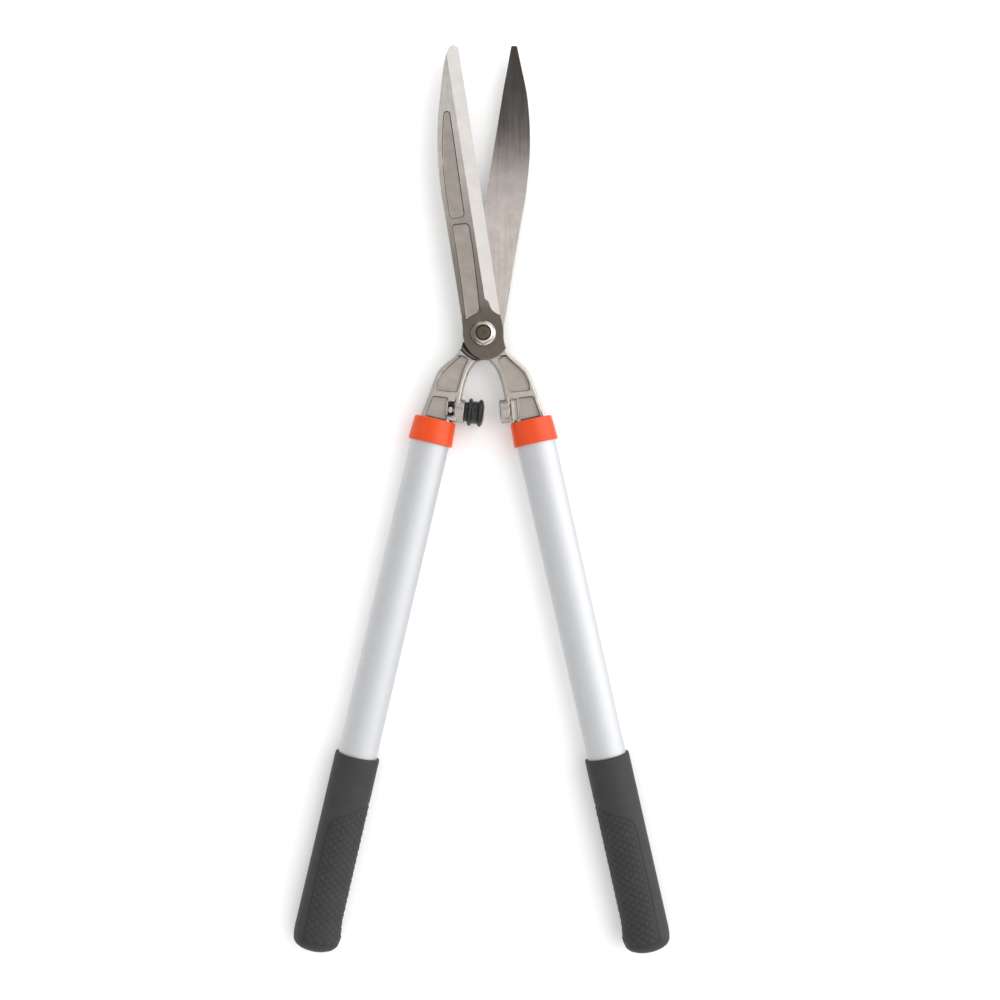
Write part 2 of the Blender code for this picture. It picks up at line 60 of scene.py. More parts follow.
# Blade. The cutting edge is straight from its root by the pivot to the tip.
EDGE_ROOT = Vector((12.1 * MM, 13.3 * MM))
EDGE_TIP = Vector((-18.6 * MM, 206.0 * MM))
GROUND_WIDTH = 9.2 * MM
EDGE_LAND = 0.7 * MM
PANEL_FILLET = 0.55 * MM
BLADE_PANEL_DEPTH = 0.8 * MM
BRACKET_PANEL_DEPTH = 2.5 * MM
BLADE_PANEL_FLOOR = BLADE_THICKNESS - BLADE_PANEL_DEPTH
BRACKET_PANEL_FLOOR = BRACKET_REACH - BRACKET_PANEL_DEPTH
PANEL_CUT = 10 * MM
DISC_CLEAR_RADIUS = 19.4 * MM
RUB_CLEAR_RADIUS = 20.4 * MM
BLADE_CLEAR_START = -9 * MM
DISC_SIDES = 128

# Rounded edges of a forging: full on the bracket, less on the blade, and none on the land of the
# cutting edge or past the end of the shank.
EDGE_ROUNDING = 0.6 * MM
BLADE_ROUNDING_SHARE = 0.45
SHARP_ANGLE = math.radians(32)
BLADE_ROOT = -2 * MM
SHANK_END = -63 * MM
LAND_TOP = FACE_GAP + EDGE_LAND * 1.2
CUTTING_START = 13 * MM
CUTTING_SIDE = -19 * MM
FORGING_MERGE = 0.02 * MM

# Where each finish of a forging lies. A normal's z tells how level a face is, and the look is the
# step ahead of a face that shows whether it looks into a panel.
LEVEL = 0.9
BRACKET_LEVEL = 0.85
WALL_LEVEL = 0.94
SAME_WAY = 0.9995
WALL_LOOK = 1.4 * MM
FLOOR_SLACK = 0.1 * MM
BRACKET_FLOOR_SLACK = 0.4 * MM
BLADE_FINISH_START = 14 * MM
DISC_RIM = 0.3 * MM

# Handles
HANDLE_LEAN = math.radians(12.9)
HANDLE_OFFSET = 19.76 * MM
TUBE_HALF_WIDTH = 14 * MM
TUBE_HALF_THICKNESS = 10 * MM
TUBE_WALL = 1.5 * MM
TUBE_START = 69.6 * MM
TUBE_END = 449.5 * MM
TANG_HALF_WIDTH = 8.75 * MM
TANG_HALF_THICKNESS = 4.5 * MM
TANG_START = 66.3 * MM
TANG_END = 130 * MM
SHANK_HALF_WIDTH = 11.5 * MM
COLLAR_START = 67.3 * MM
COLLAR_END = 84.9 * MM
COLLAR_START_RADIUS = 15.1 * MM
COLLAR_END_RADIUS = 16.2 * MM
COLLAR_FLATNESS = 0.765
COLLAR_TOP_WALL = 1.8 * MM
COLLAR_ROUNDING = 1.0 * MM
TUBE_ROUNDING = 0.3 * MM
OVAL_SIDES = 96
SLIDE_GAP = 0.25 * MM

# Grips. Everything about the pattern is in millimetres.
GRIP_START = 315.5 * MM
GRIP_FLATNESS = 12.5 / 17.1
GRIP_BORE_END = 451.7 * MM
GRIP_SIDES = 152
GRIP_RINGS = 196
PEBBLE_PITCH_ALONG = 5.0
PEBBLE_PITCH_AROUND = 5.7
PEBBLE_HEIGHT = 0.62
PEBBLE_SINK = 0.3
BORDER_DEPTH = 0.45
BORDER_HALF_WIDTH = 0.75
PANEL_END = 134.2
RING_LINES = (135.6, 138.3)
RING_DEPTH = 0.3
RING_HALF_WIDTH = 0.45
GRIP_GIRTH = 0.87
GRIP_LIP = 0.5 * MM

# Stops. The halves meet at their bosses and buffer once each has closed by this angle, which is
# half of what the pivot closes.
CLOSE_ANGLE = math.radians(5.75)
BOSS_LENGTH = 7.4 * MM
BOSS_DISTANCE = 56.7 * MM
BOSS_FACES = {"upper": 6.35 * MM, "lower": 7.65 * MM}
POCKET_WIDTH = 5 * MM
POCKET_TOP = {"upper": 49.6 * MM, "lower": 51.4 * MM}
POCKET_BOTTOM = {"upper": 64 * MM, "lower": 61.1 * MM}
POCKET_FLOORS = {"upper": (4.8 * MM, 60 * MM), "lower": (-60 * MM, 4.6 * MM)}
# The rib in the upper half's pocket: its sides from the boss, in mm, and its ends along the half.
RIB_SIDES = (0.7, 2.2)
RIB_ENDS = (-66, -48)
RIB_HEIGHTS = (3 * MM, 6.5 * MM)
RIB_ROUNDING = 0.5 * MM
STUD_RADIUS = 2.25 * MM
STUD_SIDES = 24
BUFFER_ROUNDING = 0.2 * MM
BUFFER_NUT_GAP = 1.2 * MM
BUFFER_NUT_HEIGHT = 3.2 * MM
BUFFER_NUT_HALF_WIDTH = 3.5 * MM

# Pivot
DISC_TOP = RUB_PLANE + BLADE_THICKNESS
DISC_BOTTOM = RUB_PLANE - BLADE_THICKNESS
NUT_BOTTOM = DISC_TOP + FACE_GAP
NUT_TOP = NUT_BOTTOM + 5 * MM
NUT_WIDTH = 14.6 * MM
NUT_FLANGE_RADIUS = 9.1 * MM
BOLT_THREAD_RADIUS = 4.9 * MM
BOLT_SHANK_RADIUS = 5.5 * MM
BOLT_SHANK_SET_BACK = 0.6 * MM
NECK_HALF_WIDTH = 5.5 * MM
NECK_LENGTH = 4.5 * MM
LOCK_RING_RADIUS = 5.6 * MM
LOCK_RING_DEPTH = 1.6 * MM
LOCK_RING_SEAT = 1.75 * MM
LOCK_RING_CROWN = 0.1 * MM

# Making: how far a cutting tool reaches, a hex's corner for its half width, and how fine curves are.
FAR = 60 * MM
HEX_CORNER = 1 / math.cos(math.radians(30))
CURVE_STEPS = 8
FINE_CURVE_STEPS = 12
PANEL_CURVE_STEPS = 5
ROUND_ANGLE = 40
FLAT_FACE_WEIGHT = 90

# Studio. The flag's four edges are slopes from straight up: where it begins and where it is full.
FLAG_NEAR = (math.tan(math.radians(15.0)), math.tan(math.radians(17.6)))
FLAG_FAR = (0.8, 0.6)
FLAG_LEFT = (-0.75, -0.5)
FLAG_RIGHT = (0.5, 0.35)
FLAG_LIGHT = 0.085
ROOM_LEFT = 0.80
ROOM_RIGHT = 1.14
KEY_POWER = 1.35
KEY_SPREAD = math.radians(70)
KEY_TURN = (0, math.radians(52), math.radians(22))
FLOOR_GLOW = 0.15
FLOOR_SIZE = 14
CAMERA_PLACE = (12.3 * MM, -119.2 * MM, RUB_PLANE + 830 * MM)
CAMERA_ROLL = math.radians(0.17)
CAMERA_LENS = 41.5

# How far the steels that change with the distance from the pivot are laid out, how softly they
# change, where the painted shade on the rubbing face ends, and the reach of the painted shade across
# the nut.
RADIUS_RANGE = 240 * MM
TONE_BLEND = 2 * MM
RUB_SHADE_END = -4 * MM
NUT_SHADE_REACH = 9 * MM
CLOUD_SIZE = 9

# The outline of a half in its half frame, in millimetres: (x, y, corner). A corner is smooth
# (True), sharp (False) or has a radius. The first three points are the tip.
HALF_OUTLINE = (
    (-25.2, 204.6, True), (-22.0, 207.4, True), (-18.6, 206.0, False), (12.1, 13.3, False),
    (14.3, 3.5, True), (14.8, -5.0, True), (16.7, -11.2, True), (20.3, -16.2, True),
    (27.3, -22.0, True), (31.7, -26.3, True), (34.6, -32.2, True), (40.1, -47.0, False),
    (45.0, -59.5, False), (45.94, -60.57, False), (23.52, -65.71, False), (24.1, -63.0, False),
    (19.0, -63.2, False), (15.3, -44.6, True), (13.0, -34.5, True), (8.5, -24.0, True),
    (3.5, -18.9, True), (-4.5, -17.2, True), (-10.8, -11.8, True), (-14.2, -3.6, True),
    (-14.9, 6.1, True), (-16.8, 19.2, True), (-26.0, 75.2, True), (-31.3, 107.5, True),
    (-33.3, 139.5, True), (-31.5, 169.5, True),
)
TIP_POINTS = 3
# The lower half's tip has been ground a little narrower.
LOWER_TIP = (
    (-30.4, 176.5, True), (-27.2, 191.5, True), (-23.7, 207.9, 1.1), (-19.4, 208.0, 1.0),
    (-17.8, 198.0, True), (-14.0, 177.0, False),
)
# What the wheel takes off, in the ground face's own plane: x across the edge, y along it.
GROUND_FACE_OUTLINE = (
    (-30, 240, False), (8, 240, False), (8, -2.5, False),
    (0.5, -1.2, True), (-6.0, 3.4, True), (-9.4, 12.0, True), (-30, 20, False),
)
LONG_BLADE_PANEL = (
    (-28.6, 158.6, 1.8), (-29.6, 137.0, True), (-28.0, 109.1, True), (-23.8, 81.7, 2.3),
    (-13.6, 83.3, 2.6), (-20.4, 130.6, True), (-24.6, 158.6, 1.8),
)
SHORT_BLADE_PANEL = (
    (-22.4, 77.7, 2.2), (-10.8, 78.7, 2.7), (-7.6, 60.0, True), (-2.7, 17.5, 0.6),
    (-4.0, 14.6, False), (-8.6, 12.2, True), (-12.6, 9.2, 0.6), (-15.2, 31.0, True),
)
LONG_BRACKET_PANEL = (
    (15.7, -15.9, 1.2), (10.7, -18.7, 1.0), (14.6, -27.0, True), (17.2, -36.6, True),
    (19.0, -42.0, 1.4), (33.4, -40.6, 1.4), (32.0, -34.0, True), (28.6, -27.8, True),
    (22.6, -22.3, True),
)
SHORT_BRACKET_PANEL = (
    (25.3, -46.4, 1.0), (35.9, -45.1, 1.4), (41.6, -61.2, 0.8), (26.6, -64.4, 0.8),
)
BLADE_PANELS = (LONG_BLADE_PANEL, SHORT_BLADE_PANEL)
BRACKET_PANELS = (LONG_BRACKET_PANEL, SHORT_BRACKET_PANEL)

# Turned profiles in millimetres: (radius, height from the face that the profile starts at).
BOSS_PROFILE = (
    (0, 0), (7.5, 0), (8.2, 0.25), (8.5, 1.0), (8.5, 6.5), (8.2, 7.15), (7.5, 7.4), (0, 7.4),
)
BUFFER_NUT_CROWN = ((0, 0), (3.3, 0), (4.3, -0.7), (4.3, -2.5), (3.3, -3.2), (0, -3.2))
NUT_CROWN = (
    (0, 0), (6.0, 0), (6.4, -0.15), (7.0, -0.65), (7.7, -1.4), (8.4, -2.3), (9.1, -3.3),
)
NUT_FLANGE = (
    (0, 2.8), (6.8, 2.8), (8.2, 1.9), (8.9, 1.2), (9.1, 0.7), (9.1, 0), (0, 0),
)
BOLT_END = ((0, -0.45), (1.0, -0.4), (1.3, -0.1), (4.1, 0), (4.5, -0.12), (4.9, -0.55))
BOLT_HEAD_TOP = ((9.4, 0), (9.8, -0.2), (10.0, -0.6))
BOLT_HEAD_FOOT = ((10.0, 1.7), (9.7, 0.8), (9.1, 0.25), (8.3, 0), (0, 0))
BUFFER_PROFILE = (
    (0.0, 13.8), (5.4, 13.8), (8.4, 13.0), (9.8, 12.0), (9.8, 10.4), (8.1, 9.3), (8.0, 5.6),
    (9.9, 4.6), (9.9, 2.9), (7.0, 2.0), (7.0, 0.15), (2.25, 0.15), (2.25, 6.05), (5.25, 6.05),
    (5.25, 8.15), (0.0, 8.15),
)

# The grip's sections: distance from its mouth, shift towards the heel's side, half width.
GRIP_SECTIONS = (
    (0.0, 0.0, 15.9), (0.6, 0.0, 16.15), (60.0, 0.0, 16.15), (115.0, 0.0, 16.25),
    (122.0, 0.15, 16.4), (128.0, 0.6, 16.9), (132.5, 1.0, 17.1), (136.5, 0.9, 16.5),
    (139.6, 0.6, 14.7), (141.5, 0.3, 11.5),
)
# Where the pebbled panel ends on the outer side: distance from the mouth, place across the grip.
PANEL_EDGE = (
    (30.0, -21.0), (42.3, -0.8), (46.0, 5.6), (49.0, 7.6), (57.0, 8.2), (96.0, 8.3), (134.0, 7.5),
)
# How the grip's end is domed: each ring's share of the first one's size, and its rise.
GRIP_DOME = ((0.86, 0.6), (0.66, 0.95), (0.4, 1.05))


# ---------------------------------------------------------------- modelling


def deselect():
    bpy.ops.object.select_all(action="DESELECT")


def activate(obj):
    deselect()
    obj.select_set(True)
    bpy.context.view_layer.objects.active = obj
    return obj


def apply_place(obj):
    activate(obj)
    bpy.ops.object.transform_apply(location=True, rotation=True, scale=True)
    return obj


def apply_modifier(obj, kind, **settings):
    activate(obj)
    modifier = obj.modifiers.new(kind.title(), kind)
    for name, value in settings.items():
        setattr(modifier, name, value)
    bpy.ops.object.modifier_apply(modifier=modifier.name)
    return obj


def tidy_mesh(obj, distance=1e-6):
    """Merges doubles and turns every face outwards."""
    activate(obj)
    bpy.ops.object.mode_set(mode="EDIT")
    bpy.ops.mesh.select_all(action="SELECT")
    bpy.ops.mesh.remove_doubles(threshold=distance)
    bpy.ops.mesh.normals_make_consistent(inside=False)
    bpy.ops.object.mode_set(mode="OBJECT")
    return obj


def rounded_corners(outline):
    """The knots of an outline. A corner is smooth (True), sharp (False) or has a radius in mm."""
    spots = [Vector((x * MM, y * MM, 0)) for x, y, _ in outline]
    knots = []
    for i, (spot, (_, _, corner)) in enumerate(zip(spots, outline)):
        if isinstance(corner, bool):
            knots.append((spot, "AUTO" if corner else "VECTOR", None))
            continue
        back = (spots[i - 1] - spot).normalized()
        onward = (spots[(i + 1) % len(spots)] - spot).normalized()
        reach = corner * MM / math.tan(back.angle(onward) / 2)
        pull = reach * 0.45
        start, end = spot + back * reach, spot + onward * reach
        knots.append((start, "FREE", (start + back * pull, spot + back * pull)))
        knots.append((end, "FREE", (spot + onward * pull, end + onward * pull)))
    return knots


def flat_solid(name, outline, low, high, rounding=0.0, resolution=CURVE_STEPS):
    """A flat outline, given in millimetres, standing from height low to high with rounded edges."""
    deselect()
    bpy.ops.curve.primitive_bezier_circle_add(location=(0, 0, (low + high) / 2))
    obj = bpy.context.object
    obj.name = name
    curve = obj.data
    curve.splines.clear()
    curve.dimensions = "2D"
    curve.fill_mode = "BOTH"
    curve.resolution_u = resolution
    curve.extrude = (high - low) / 2 - rounding
    curve.bevel_depth = rounding
    curve.bevel_resolution = 2
    curve.offset = -rounding
    spline = curve.splines.new("BEZIER")
    knots = rounded_corners(outline)
    spline.bezier_points.add(len(knots) - 1)
    spline.use_cyclic_u = True
    for knot, (place_at, kind, pull) in zip(spline.bezier_points, knots):
        knot.co = place_at
        knot.handle_left_type = knot.handle_right_type = kind
        if kind == "FREE":
            before, after = pull
            knot.handle_left, knot.handle_right = before, after
    bpy.ops.object.convert(target="MESH")
    return apply_place(tidy_mesh(bpy.context.object))


def block(low, high):
    """A box between two corners."""
    low, high = Vector(low), Vector(high)
    deselect()
    bpy.ops.mesh.primitive_cube_add(size=1, location=(low + high) / 2, scale=high - low)
    return apply_place(bpy.context.object)


def rod(radius, low, high, sides=64, squash=1.0):
    """An upright cylinder on the Z axis, that can be squashed along Y."""
    deselect()
    bpy.ops.mesh.primitive_cylinder_add(
        vertices=sides, radius=radius, depth=high - low, location=(0, 0, (low + high) / 2)
    )
    obj = bpy.context.object
    obj.scale.y = squash
    return apply_place(obj)


def turned(name, profile, steps=96):
    """A profile of (radius, height) points in metres, spun about Z."""
    mesh = bpy.data.meshes.new(name)
    edges = [(i, i + 1) for i in range(len(profile) - 1)]
    mesh.from_pydata([(r, 0, z) for r, z in profile], edges, [])
    obj = bpy.data.objects.new(name, mesh)
    bpy.context.scene.collection.objects.link(obj)
    activate(obj)
    bpy.ops.object.mode_set(mode="EDIT")
    bpy.ops.mesh.select_all(action="SELECT")
    bpy.ops.mesh.spin(steps=steps, angle=math.tau, center=(0, 0, 0), axis=(0, 0, 1))
    bpy.ops.object.mode_set(mode="OBJECT")
    return tidy_mesh(obj)


def scaled(profile, base=0.0):
    """A profile in millimetres, as metres above a base height."""
    return [(radius * MM, base + height * MM) for radius, height in profile]


def place(obj, matrix):
    obj.matrix_world = matrix @ obj.matrix_world
    return apply_place(obj)


def combine(obj, tool, operation="DIFFERENCE"):
    """Cuts tool from obj or joins it to obj, and removes it."""
    apply_modifier(obj, "BOOLEAN", operation=operation, solver="EXACT", object=tool)
    bpy.data.objects.remove(tool)
    return obj


def smooth(obj, angle=30):
    activate(obj)
    bpy.ops.object.shade_smooth_by_angle(angle=math.radians(angle))
    return obj


def weighted_normals(obj):
    """Big flat faces keep their own direction, so that only the rounded edges shade round."""
    smooth(obj, ROUND_ANGLE)
    return apply_modifier(obj, "WEIGHTED_NORMAL", keep_sharp=True, weight=FLAT_FACE_WEIGHT)


def finish_piece(obj, name, body, nodes, material=None):
    """Names a piece, gives it its material, says what it rides on and hides what it replaces."""
    obj.name = name
    obj.data.name = name
    if material:
        obj.data.materials.clear()
        obj.data.materials.append(material)
    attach(obj, body)
    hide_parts(*nodes)
    return obj


# ---------------------------------------------------------------- materials


def colour(value):
    """A linear colour with alpha from an sRGB hex value."""
    parts = [int(value[i:i + 2], 16) / 255 for i in (1, 3, 5)]
    linear = [c / 12.92 if c <= 0.04045 else ((c + 0.055) / 1.055) ** 2.4 for c in parts]
    return (*linear, 1)


def add_node(tree, kind, inputs=None, stops=(), **settings):
    """Adds a node, sets its settings and colour stops, and links or fills its inputs."""
    node = tree.nodes.new(kind)
    for name, value in settings.items():
        setattr(node, name, value)
    for i, (position, value) in enumerate(stops):
        elements = node.color_ramp.elements
        element = elements[i] if i < len(elements) else elements.new(position)
        element.position = position
        element.color = colour(value)
    for name, value in (inputs or {}).items():
        if isinstance(value, bpy.types.NodeSocket):
            tree.links.new(value, node.inputs[name])
        else:
            node.inputs[name].default_value = value
    return node


def new_material(name, **shader_inputs):
    """A material with its tree and its shader, whose uniform inputs are set."""
    material = bpy.data.materials.new(name)
    material.use_nodes = True
    tree = material.node_tree
    shader = tree.nodes["Principled BSDF"]
    for name, value in shader_inputs.items():
        shader.inputs[name.replace("_", " ")].default_value = value
    return material, tree, shader


def object_pattern(tree, scale=(1, 1, 1), rotation=(0, 0, 0)):
    """Object coordinates in metres, stretched so that a pattern follows the way a tool went."""
    place_node = add_node(tree, "ShaderNodeTexCoord").outputs["Object"]
    mapping = add_node(
        tree, "ShaderNodeMapping", {"Vector": place_node, "Scale": scale, "Rotation": rotation}
    )
    return mapping.outputs["Vector"]


def per_mm(size):
    """The texture scale at which one cell of a pattern is this many millimetres."""
    return 1 / (size * MM)


def steel(name, dark, light, roughness, spread, grain, stretch, rotation, bump, base=None):
    """Metal after a certain tool: two tones, a grain drawn out along the tool's way, and a bump."""
    material, tree, shader = new_material(name, Metallic=1.0, Roughness=roughness)
    along = object_pattern(tree, stretch, rotation)
    cloud = add_node(
        tree, "ShaderNodeTexNoise",
        {"Vector": object_pattern(tree), "Scale": per_mm(CLOUD_SIZE), "Detail": 3,
         "Roughness": 0.55},
    ).outputs["Fac"]
    fine = add_node(
        tree, "ShaderNodeTexNoise",
        {"Vector": along, "Scale": per_mm(grain), "Detail": 4, "Roughness": 0.65},
    ).outputs["Fac"]
    both = add_node(
        tree, "ShaderNodeMix", {"Factor": 0.5, "A": cloud, "B": fine}, data_type="FLOAT"
    ).outputs["Result"]
    tone = add_node(
        tree, "ShaderNodeValToRGB", {"Fac": both}, ((0.34, dark), (0.66, light))
    ).outputs["Color"]
    if base:
        tone = base(tree, tone)
    tree.links.new(tone, shader.inputs["Base Color"])
    rough = add_node(
        tree, "ShaderNodeMapRange",
        {"Value": fine, "From Min": 0.3, "From Max": 0.7,
         "To Min": roughness - spread, "To Max": roughness + spread},
    ).outputs["Result"]
    tree.links.new(rough, shader.inputs["Roughness"])
    relief = add_node(
        tree, "ShaderNodeBump", {"Height": fine, "Distance": bump * MM, "Strength": 0.6}
    ).outputs["Normal"]
    tree.links.new(relief, shader.inputs["Normal"])
    return material


def by_radius(*stops, below=None):
    """Gives a function that multiplies a tone by another one set by the distance from the pivot.

    Above the height "below", given in metres up the blade, every place counts as far away.
    """
    def mixed(tree, tone):
        """Multiplies the tone by the stops' colours."""
        spot = add_node(tree, "ShaderNodeTexCoord").outputs["Object"]
        flat = add_node(
            tree, "ShaderNodeVectorMath", {0: spot, 1: (1, 1, 0)}, operation="MULTIPLY"
        ).outputs["Vector"]
        distance = add_node(
            tree, "ShaderNodeVectorMath", {0: flat}, operation="LENGTH"
        ).outputs["Value"]
        if below is not None:
            up = add_node(tree, "ShaderNodeSeparateXYZ", {0: spot}).outputs["Y"]
            far = add_node(
                tree, "ShaderNodeMapRange",
                {"Value": up, "From Min": below - TONE_BLEND, "From Max": below + TONE_BLEND,
                 "To Min": 0, "To Max": RADIUS_RANGE},
            ).outputs["Result"]
            distance = add_node(
                tree, "ShaderNodeMath", {0: distance, 1: far}, operation="MAXIMUM"
            ).outputs[0]
        share = add_node(
            tree, "ShaderNodeMapRange",
            {"Value": distance, "From Min": 0, "From Max": RADIUS_RANGE, "To Min": 0, "To Max": 1},
        ).outputs["Result"]
        shade = add_node(
            tree, "ShaderNodeValToRGB", {"Fac": share},
            [(mm * MM / RADIUS_RANGE, value) for mm, value in stops],
        ).outputs["Color"]
        return add_node(
            tree, "ShaderNodeMix", {"Factor": 1.0, "A": tone, "B": shade},
            data_type="RGBA", blend_type="MULTIPLY",
        ).outputs["Result"]
    return mixed


def painted_shade_across_nut(tree, tone):
    """Painted shade: the plate's tone is multiplied darker on the nut's left side, so that side
    looks shaded.
    """
    spot = add_node(tree, "ShaderNodeTexCoord").outputs["Object"]
    side = add_node(tree, "ShaderNodeSeparateXYZ", {0: spot}).outputs["X"]
    share = add_node(
        tree, "ShaderNodeMapRange",
        {"Value": side, "From Min": -NUT_SHADE_REACH, "From Max": NUT_SHADE_REACH,
         "To Min": 0, "To Max": 1},
    ).outputs["Result"]
    # Painted shade: dark on the left, full tone from the middle on.
    shade = add_node(
        tree, "ShaderNodeValToRGB", {"Fac": share},
        ((0, "#8A847C"), (0.18, "#8A847C"), (0.42, "#E6E1DB"), (1, "#FFFFFF")),
    ).outputs["Color"]
    return add_node(
        tree, "ShaderNodeMix", {"Factor": 1.0, "A": tone, "B": shade},
        data_type="RGBA", blend_type="MULTIPLY",
    ).outputs["Result"]


def make_steels():
    """One finish for each way the forging was worked, and a painted shade for the walls of its
    panels.
    """
    lean = -math.atan2(-(EDGE_TIP - EDGE_ROOT).x, (EDGE_TIP - EDGE_ROOT).y)
    return {
        # Shot blasting leaves a fine even grit, which gives the sunk panels a dull warm grey.
        "panel": steel(
            "shot_blasted_forged_steel", "#9C948C", "#B3ABA3", 0.5, 0.06, 0.9, (1, 1, 1),
            (0, 0, 0), 0.10,
        ),
        # The panels of the bracket were blasted too, and are paler than those of the blade.
        "bracket_panel": steel(
            "shot_blasted_bracket_steel", "#A69E96", "#BAB2AA", 0.5, 0.06, 0.9, (1, 1, 1),
            (0, 0, 0), 0.10,
        ),
        # Painted shade: the steep walls of the panels get a dark tone, which draws a dark line round
        # each.
        "wall": steel(
            "panel_wall_painted_shade_steel", "#4C4743", "#5C5752", 0.55, 0.05, 0.9, (1, 1, 1),
            (0, 0, 0), 0.05,
        ),
        # The bracket's panel walls get a lighter painted shade than the blade's, only a little
        # darker than the bracket.
        "bracket_wall": steel(
            "bracket_wall_painted_shade_steel", "#857E77", "#9A938C", 0.5, 0.05, 0.9, (1, 1, 1),
            (0, 0, 0), 0.05,
        ),
        # A coarse belt along the blade leaves long faint lines on the raised faces. Their tone is
        # darker towards the pivot and paler towards the tip.
        "outer": steel(
            "belt_ground_forged_steel", "#C3BEB9", "#D9D4D0", 0.42, 0.05, 1.1, (1, 0.12, 1),
            (0, 0, lean), 0.03,
            by_radius((0, "#807A74"), (17, "#89837D"), (24, "#A29D97"), (60, "#B0ABA6"),
                      (115, "#EDEBE8"), (160, "#FFFFFF")),
        ),
        # The edge is ground crosswise. Its bevel leans to the light, so a darker tone still shows
        # bright.
        "edge": steel(
            "cross_ground_edge_steel", "#9F9B98", "#A9A6A3", 0.42, 0.03, 0.8, (0.12, 1, 1),
            (0, 0, lean), 0.006,
        ),
        # The rubbing face is ground flat on a plate and lapped, and mirrors what is above it.
        # Below the blade's root it is painted near black round the pivot, as painted shade in the
        # gap beside the other half, with one paler thin ring.
        "rubbing": steel(
            "plate_ground_rubbing_steel", "#C2C0BF", "#DCDAD9", 0.11, 0.02, 2.6, (1, 0.05, 1),
            (0, 0, -lean), 0.003,
            by_radius((0, "#2C2926"), (17.0, "#2C2926"), (17.7, "#8F8A84"), (18.3, "#8F8A84"),
                      (19.0, "#2C2926"), (20.6, "#34302D"), (22.0, "#E4E2DF"), (115, "#FBF9F7"),
                      (160, "#F6EDE7"), below=RUB_SHADE_END),
        ),
        # The bracket is blasted and then tumbled: soft, even and a little brighter on its rims.
        "bracket": steel(
            "tumbled_forged_steel", "#ADA69F", "#C2BCB5", 0.4, 0.06, 0.8, (1, 1, 1),
            (0, 0, 0), 0.05,
        ),
    }


# ---------------------------------------------------------------- forged halves


def handle_matrix():
    """Local +Z runs down the handle's axis, +X across its width and +Y through its thickness."""
    foot = Vector((math.cos(HANDLE_LEAN), math.sin(HANDLE_LEAN), 0)) * HANDLE_OFFSET
    turn = Matrix.Rotation(HANDLE_LEAN, 4, "Z") @ Matrix.Rotation(math.radians(90), 4, "X")
    return Matrix.Translation(foot) @ turn


def stop_matrix():
    return Matrix.Rotation(CLOSE_ANGLE, 4, "Z")


def half_matrix(half):
    lift = Matrix.Translation((0, 0, RUB_PLANE))
    return lift if half == "upper" else lift @ Matrix.Rotation(math.pi, 4, "Y")


def panel_cutter(outline, floor, side):
    """A tool with a rounded foot, that sinks a panel into the face on that side."""
    low, high = sorted((side * floor, side * (floor + PANEL_CUT)))
    return flat_solid("panel", outline, low, high, PANEL_FILLET, PANEL_CURVE_STEPS)


def ground_face_matrix():
    """A place on the cutting edge with its +Y up the edge and its +Z square to the ground face."""
    slope = math.atan2(BLADE_THICKNESS - FACE_GAP - EDGE_LAND, GROUND_WIDTH)
    along = EDGE_TIP - EDGE_ROOT
    lean = math.atan2(-along.x, along.y)
    foot = Matrix.Translation((EDGE_ROOT.x, EDGE_ROOT.y, FACE_GAP + EDGE_LAND))
    return foot @ Matrix.Rotation(lean, 4, "Z") @ Matrix.Rotation(slope, 4, "Y")


def ground_face_cutter():
    """Takes off everything above the ground face, whose wheel ran out in a hollow by the disc."""
    tool = flat_solid("ground_face", GROUND_FACE_OUTLINE, 0, FAR / 2, 0, FINE_CURVE_STEPS)
    return place(tool, ground_face_matrix())


def within(outline, x, y):
    """Whether a point, in millimetres, is inside an outline."""
    crossings = 0
    for (ax, ay, _), (bx, by, _) in zip(outline, outline[1:] + outline[:1]):
        if (ay > y) != (by > y) and x < ax + (y - ay) / (by - ay) * (bx - ax):
            crossings += 1
    return crossings % 2 == 1


def is_panel_wall(centre, normal):
    """Whether a steep face looks into one of the sunk panels."""
    if abs(normal.z) > WALL_LEVEL:
        return False
    ahead = (centre + normal * WALL_LOOK) / MM
    for height, floor, outlines in (
        (centre.z, BLADE_PANEL_FLOOR, BLADE_PANELS),
        (abs(centre.z), BRACKET_PANEL_FLOOR, BRACKET_PANELS),
    ):
        if height > floor - FLOOR_SLACK and any(within(o, ahead.x, ahead.y) for o in outlines):
            return True
    return False


def zone_of(centre, normal):
    """Which finish a face of a half has, from its place and direction in the half frame."""
    # Steep faces that look into a panel get the painted shade of the walls.
    if is_panel_wall(centre, normal):
        return "wall" if centre.y > 0 else "bracket_wall"
    if centre.y > BLADE_FINISH_START or centre.xy.length < DISC_CLEAR_RADIUS - DISC_RIM:
        if normal.z < -LEVEL:
            return "rubbing"
        if normal.z > LEVEL and centre.z < BLADE_THICKNESS - BLADE_PANEL_DEPTH / 2:
            return "panel"
        if normal.dot(ground_face_matrix().col[2].xyz) > SAME_WAY:
            return "edge"
        return "outer"
    sunk = abs(centre.z) < BRACKET_PANEL_FLOOR + BRACKET_FLOOR_SLACK
    return "bracket_panel" if sunk and abs(normal.z) > BRACKET_LEVEL else "bracket"


def rounding_share(middle):
    """How much of the full rounding an edge has: none on the cutting edge or beside the tang."""
    cutting = middle.z < LAND_TOP and middle.x > CUTTING_SIDE and middle.y > CUTTING_START
    if cutting or middle.y < SHANK_END:
        return 0.0
    on_blade = middle.y > BLADE_ROOT or middle.xy.length < DISC_CLEAR_RADIUS
    return BLADE_ROUNDING_SHARE if on_blade else 1.0


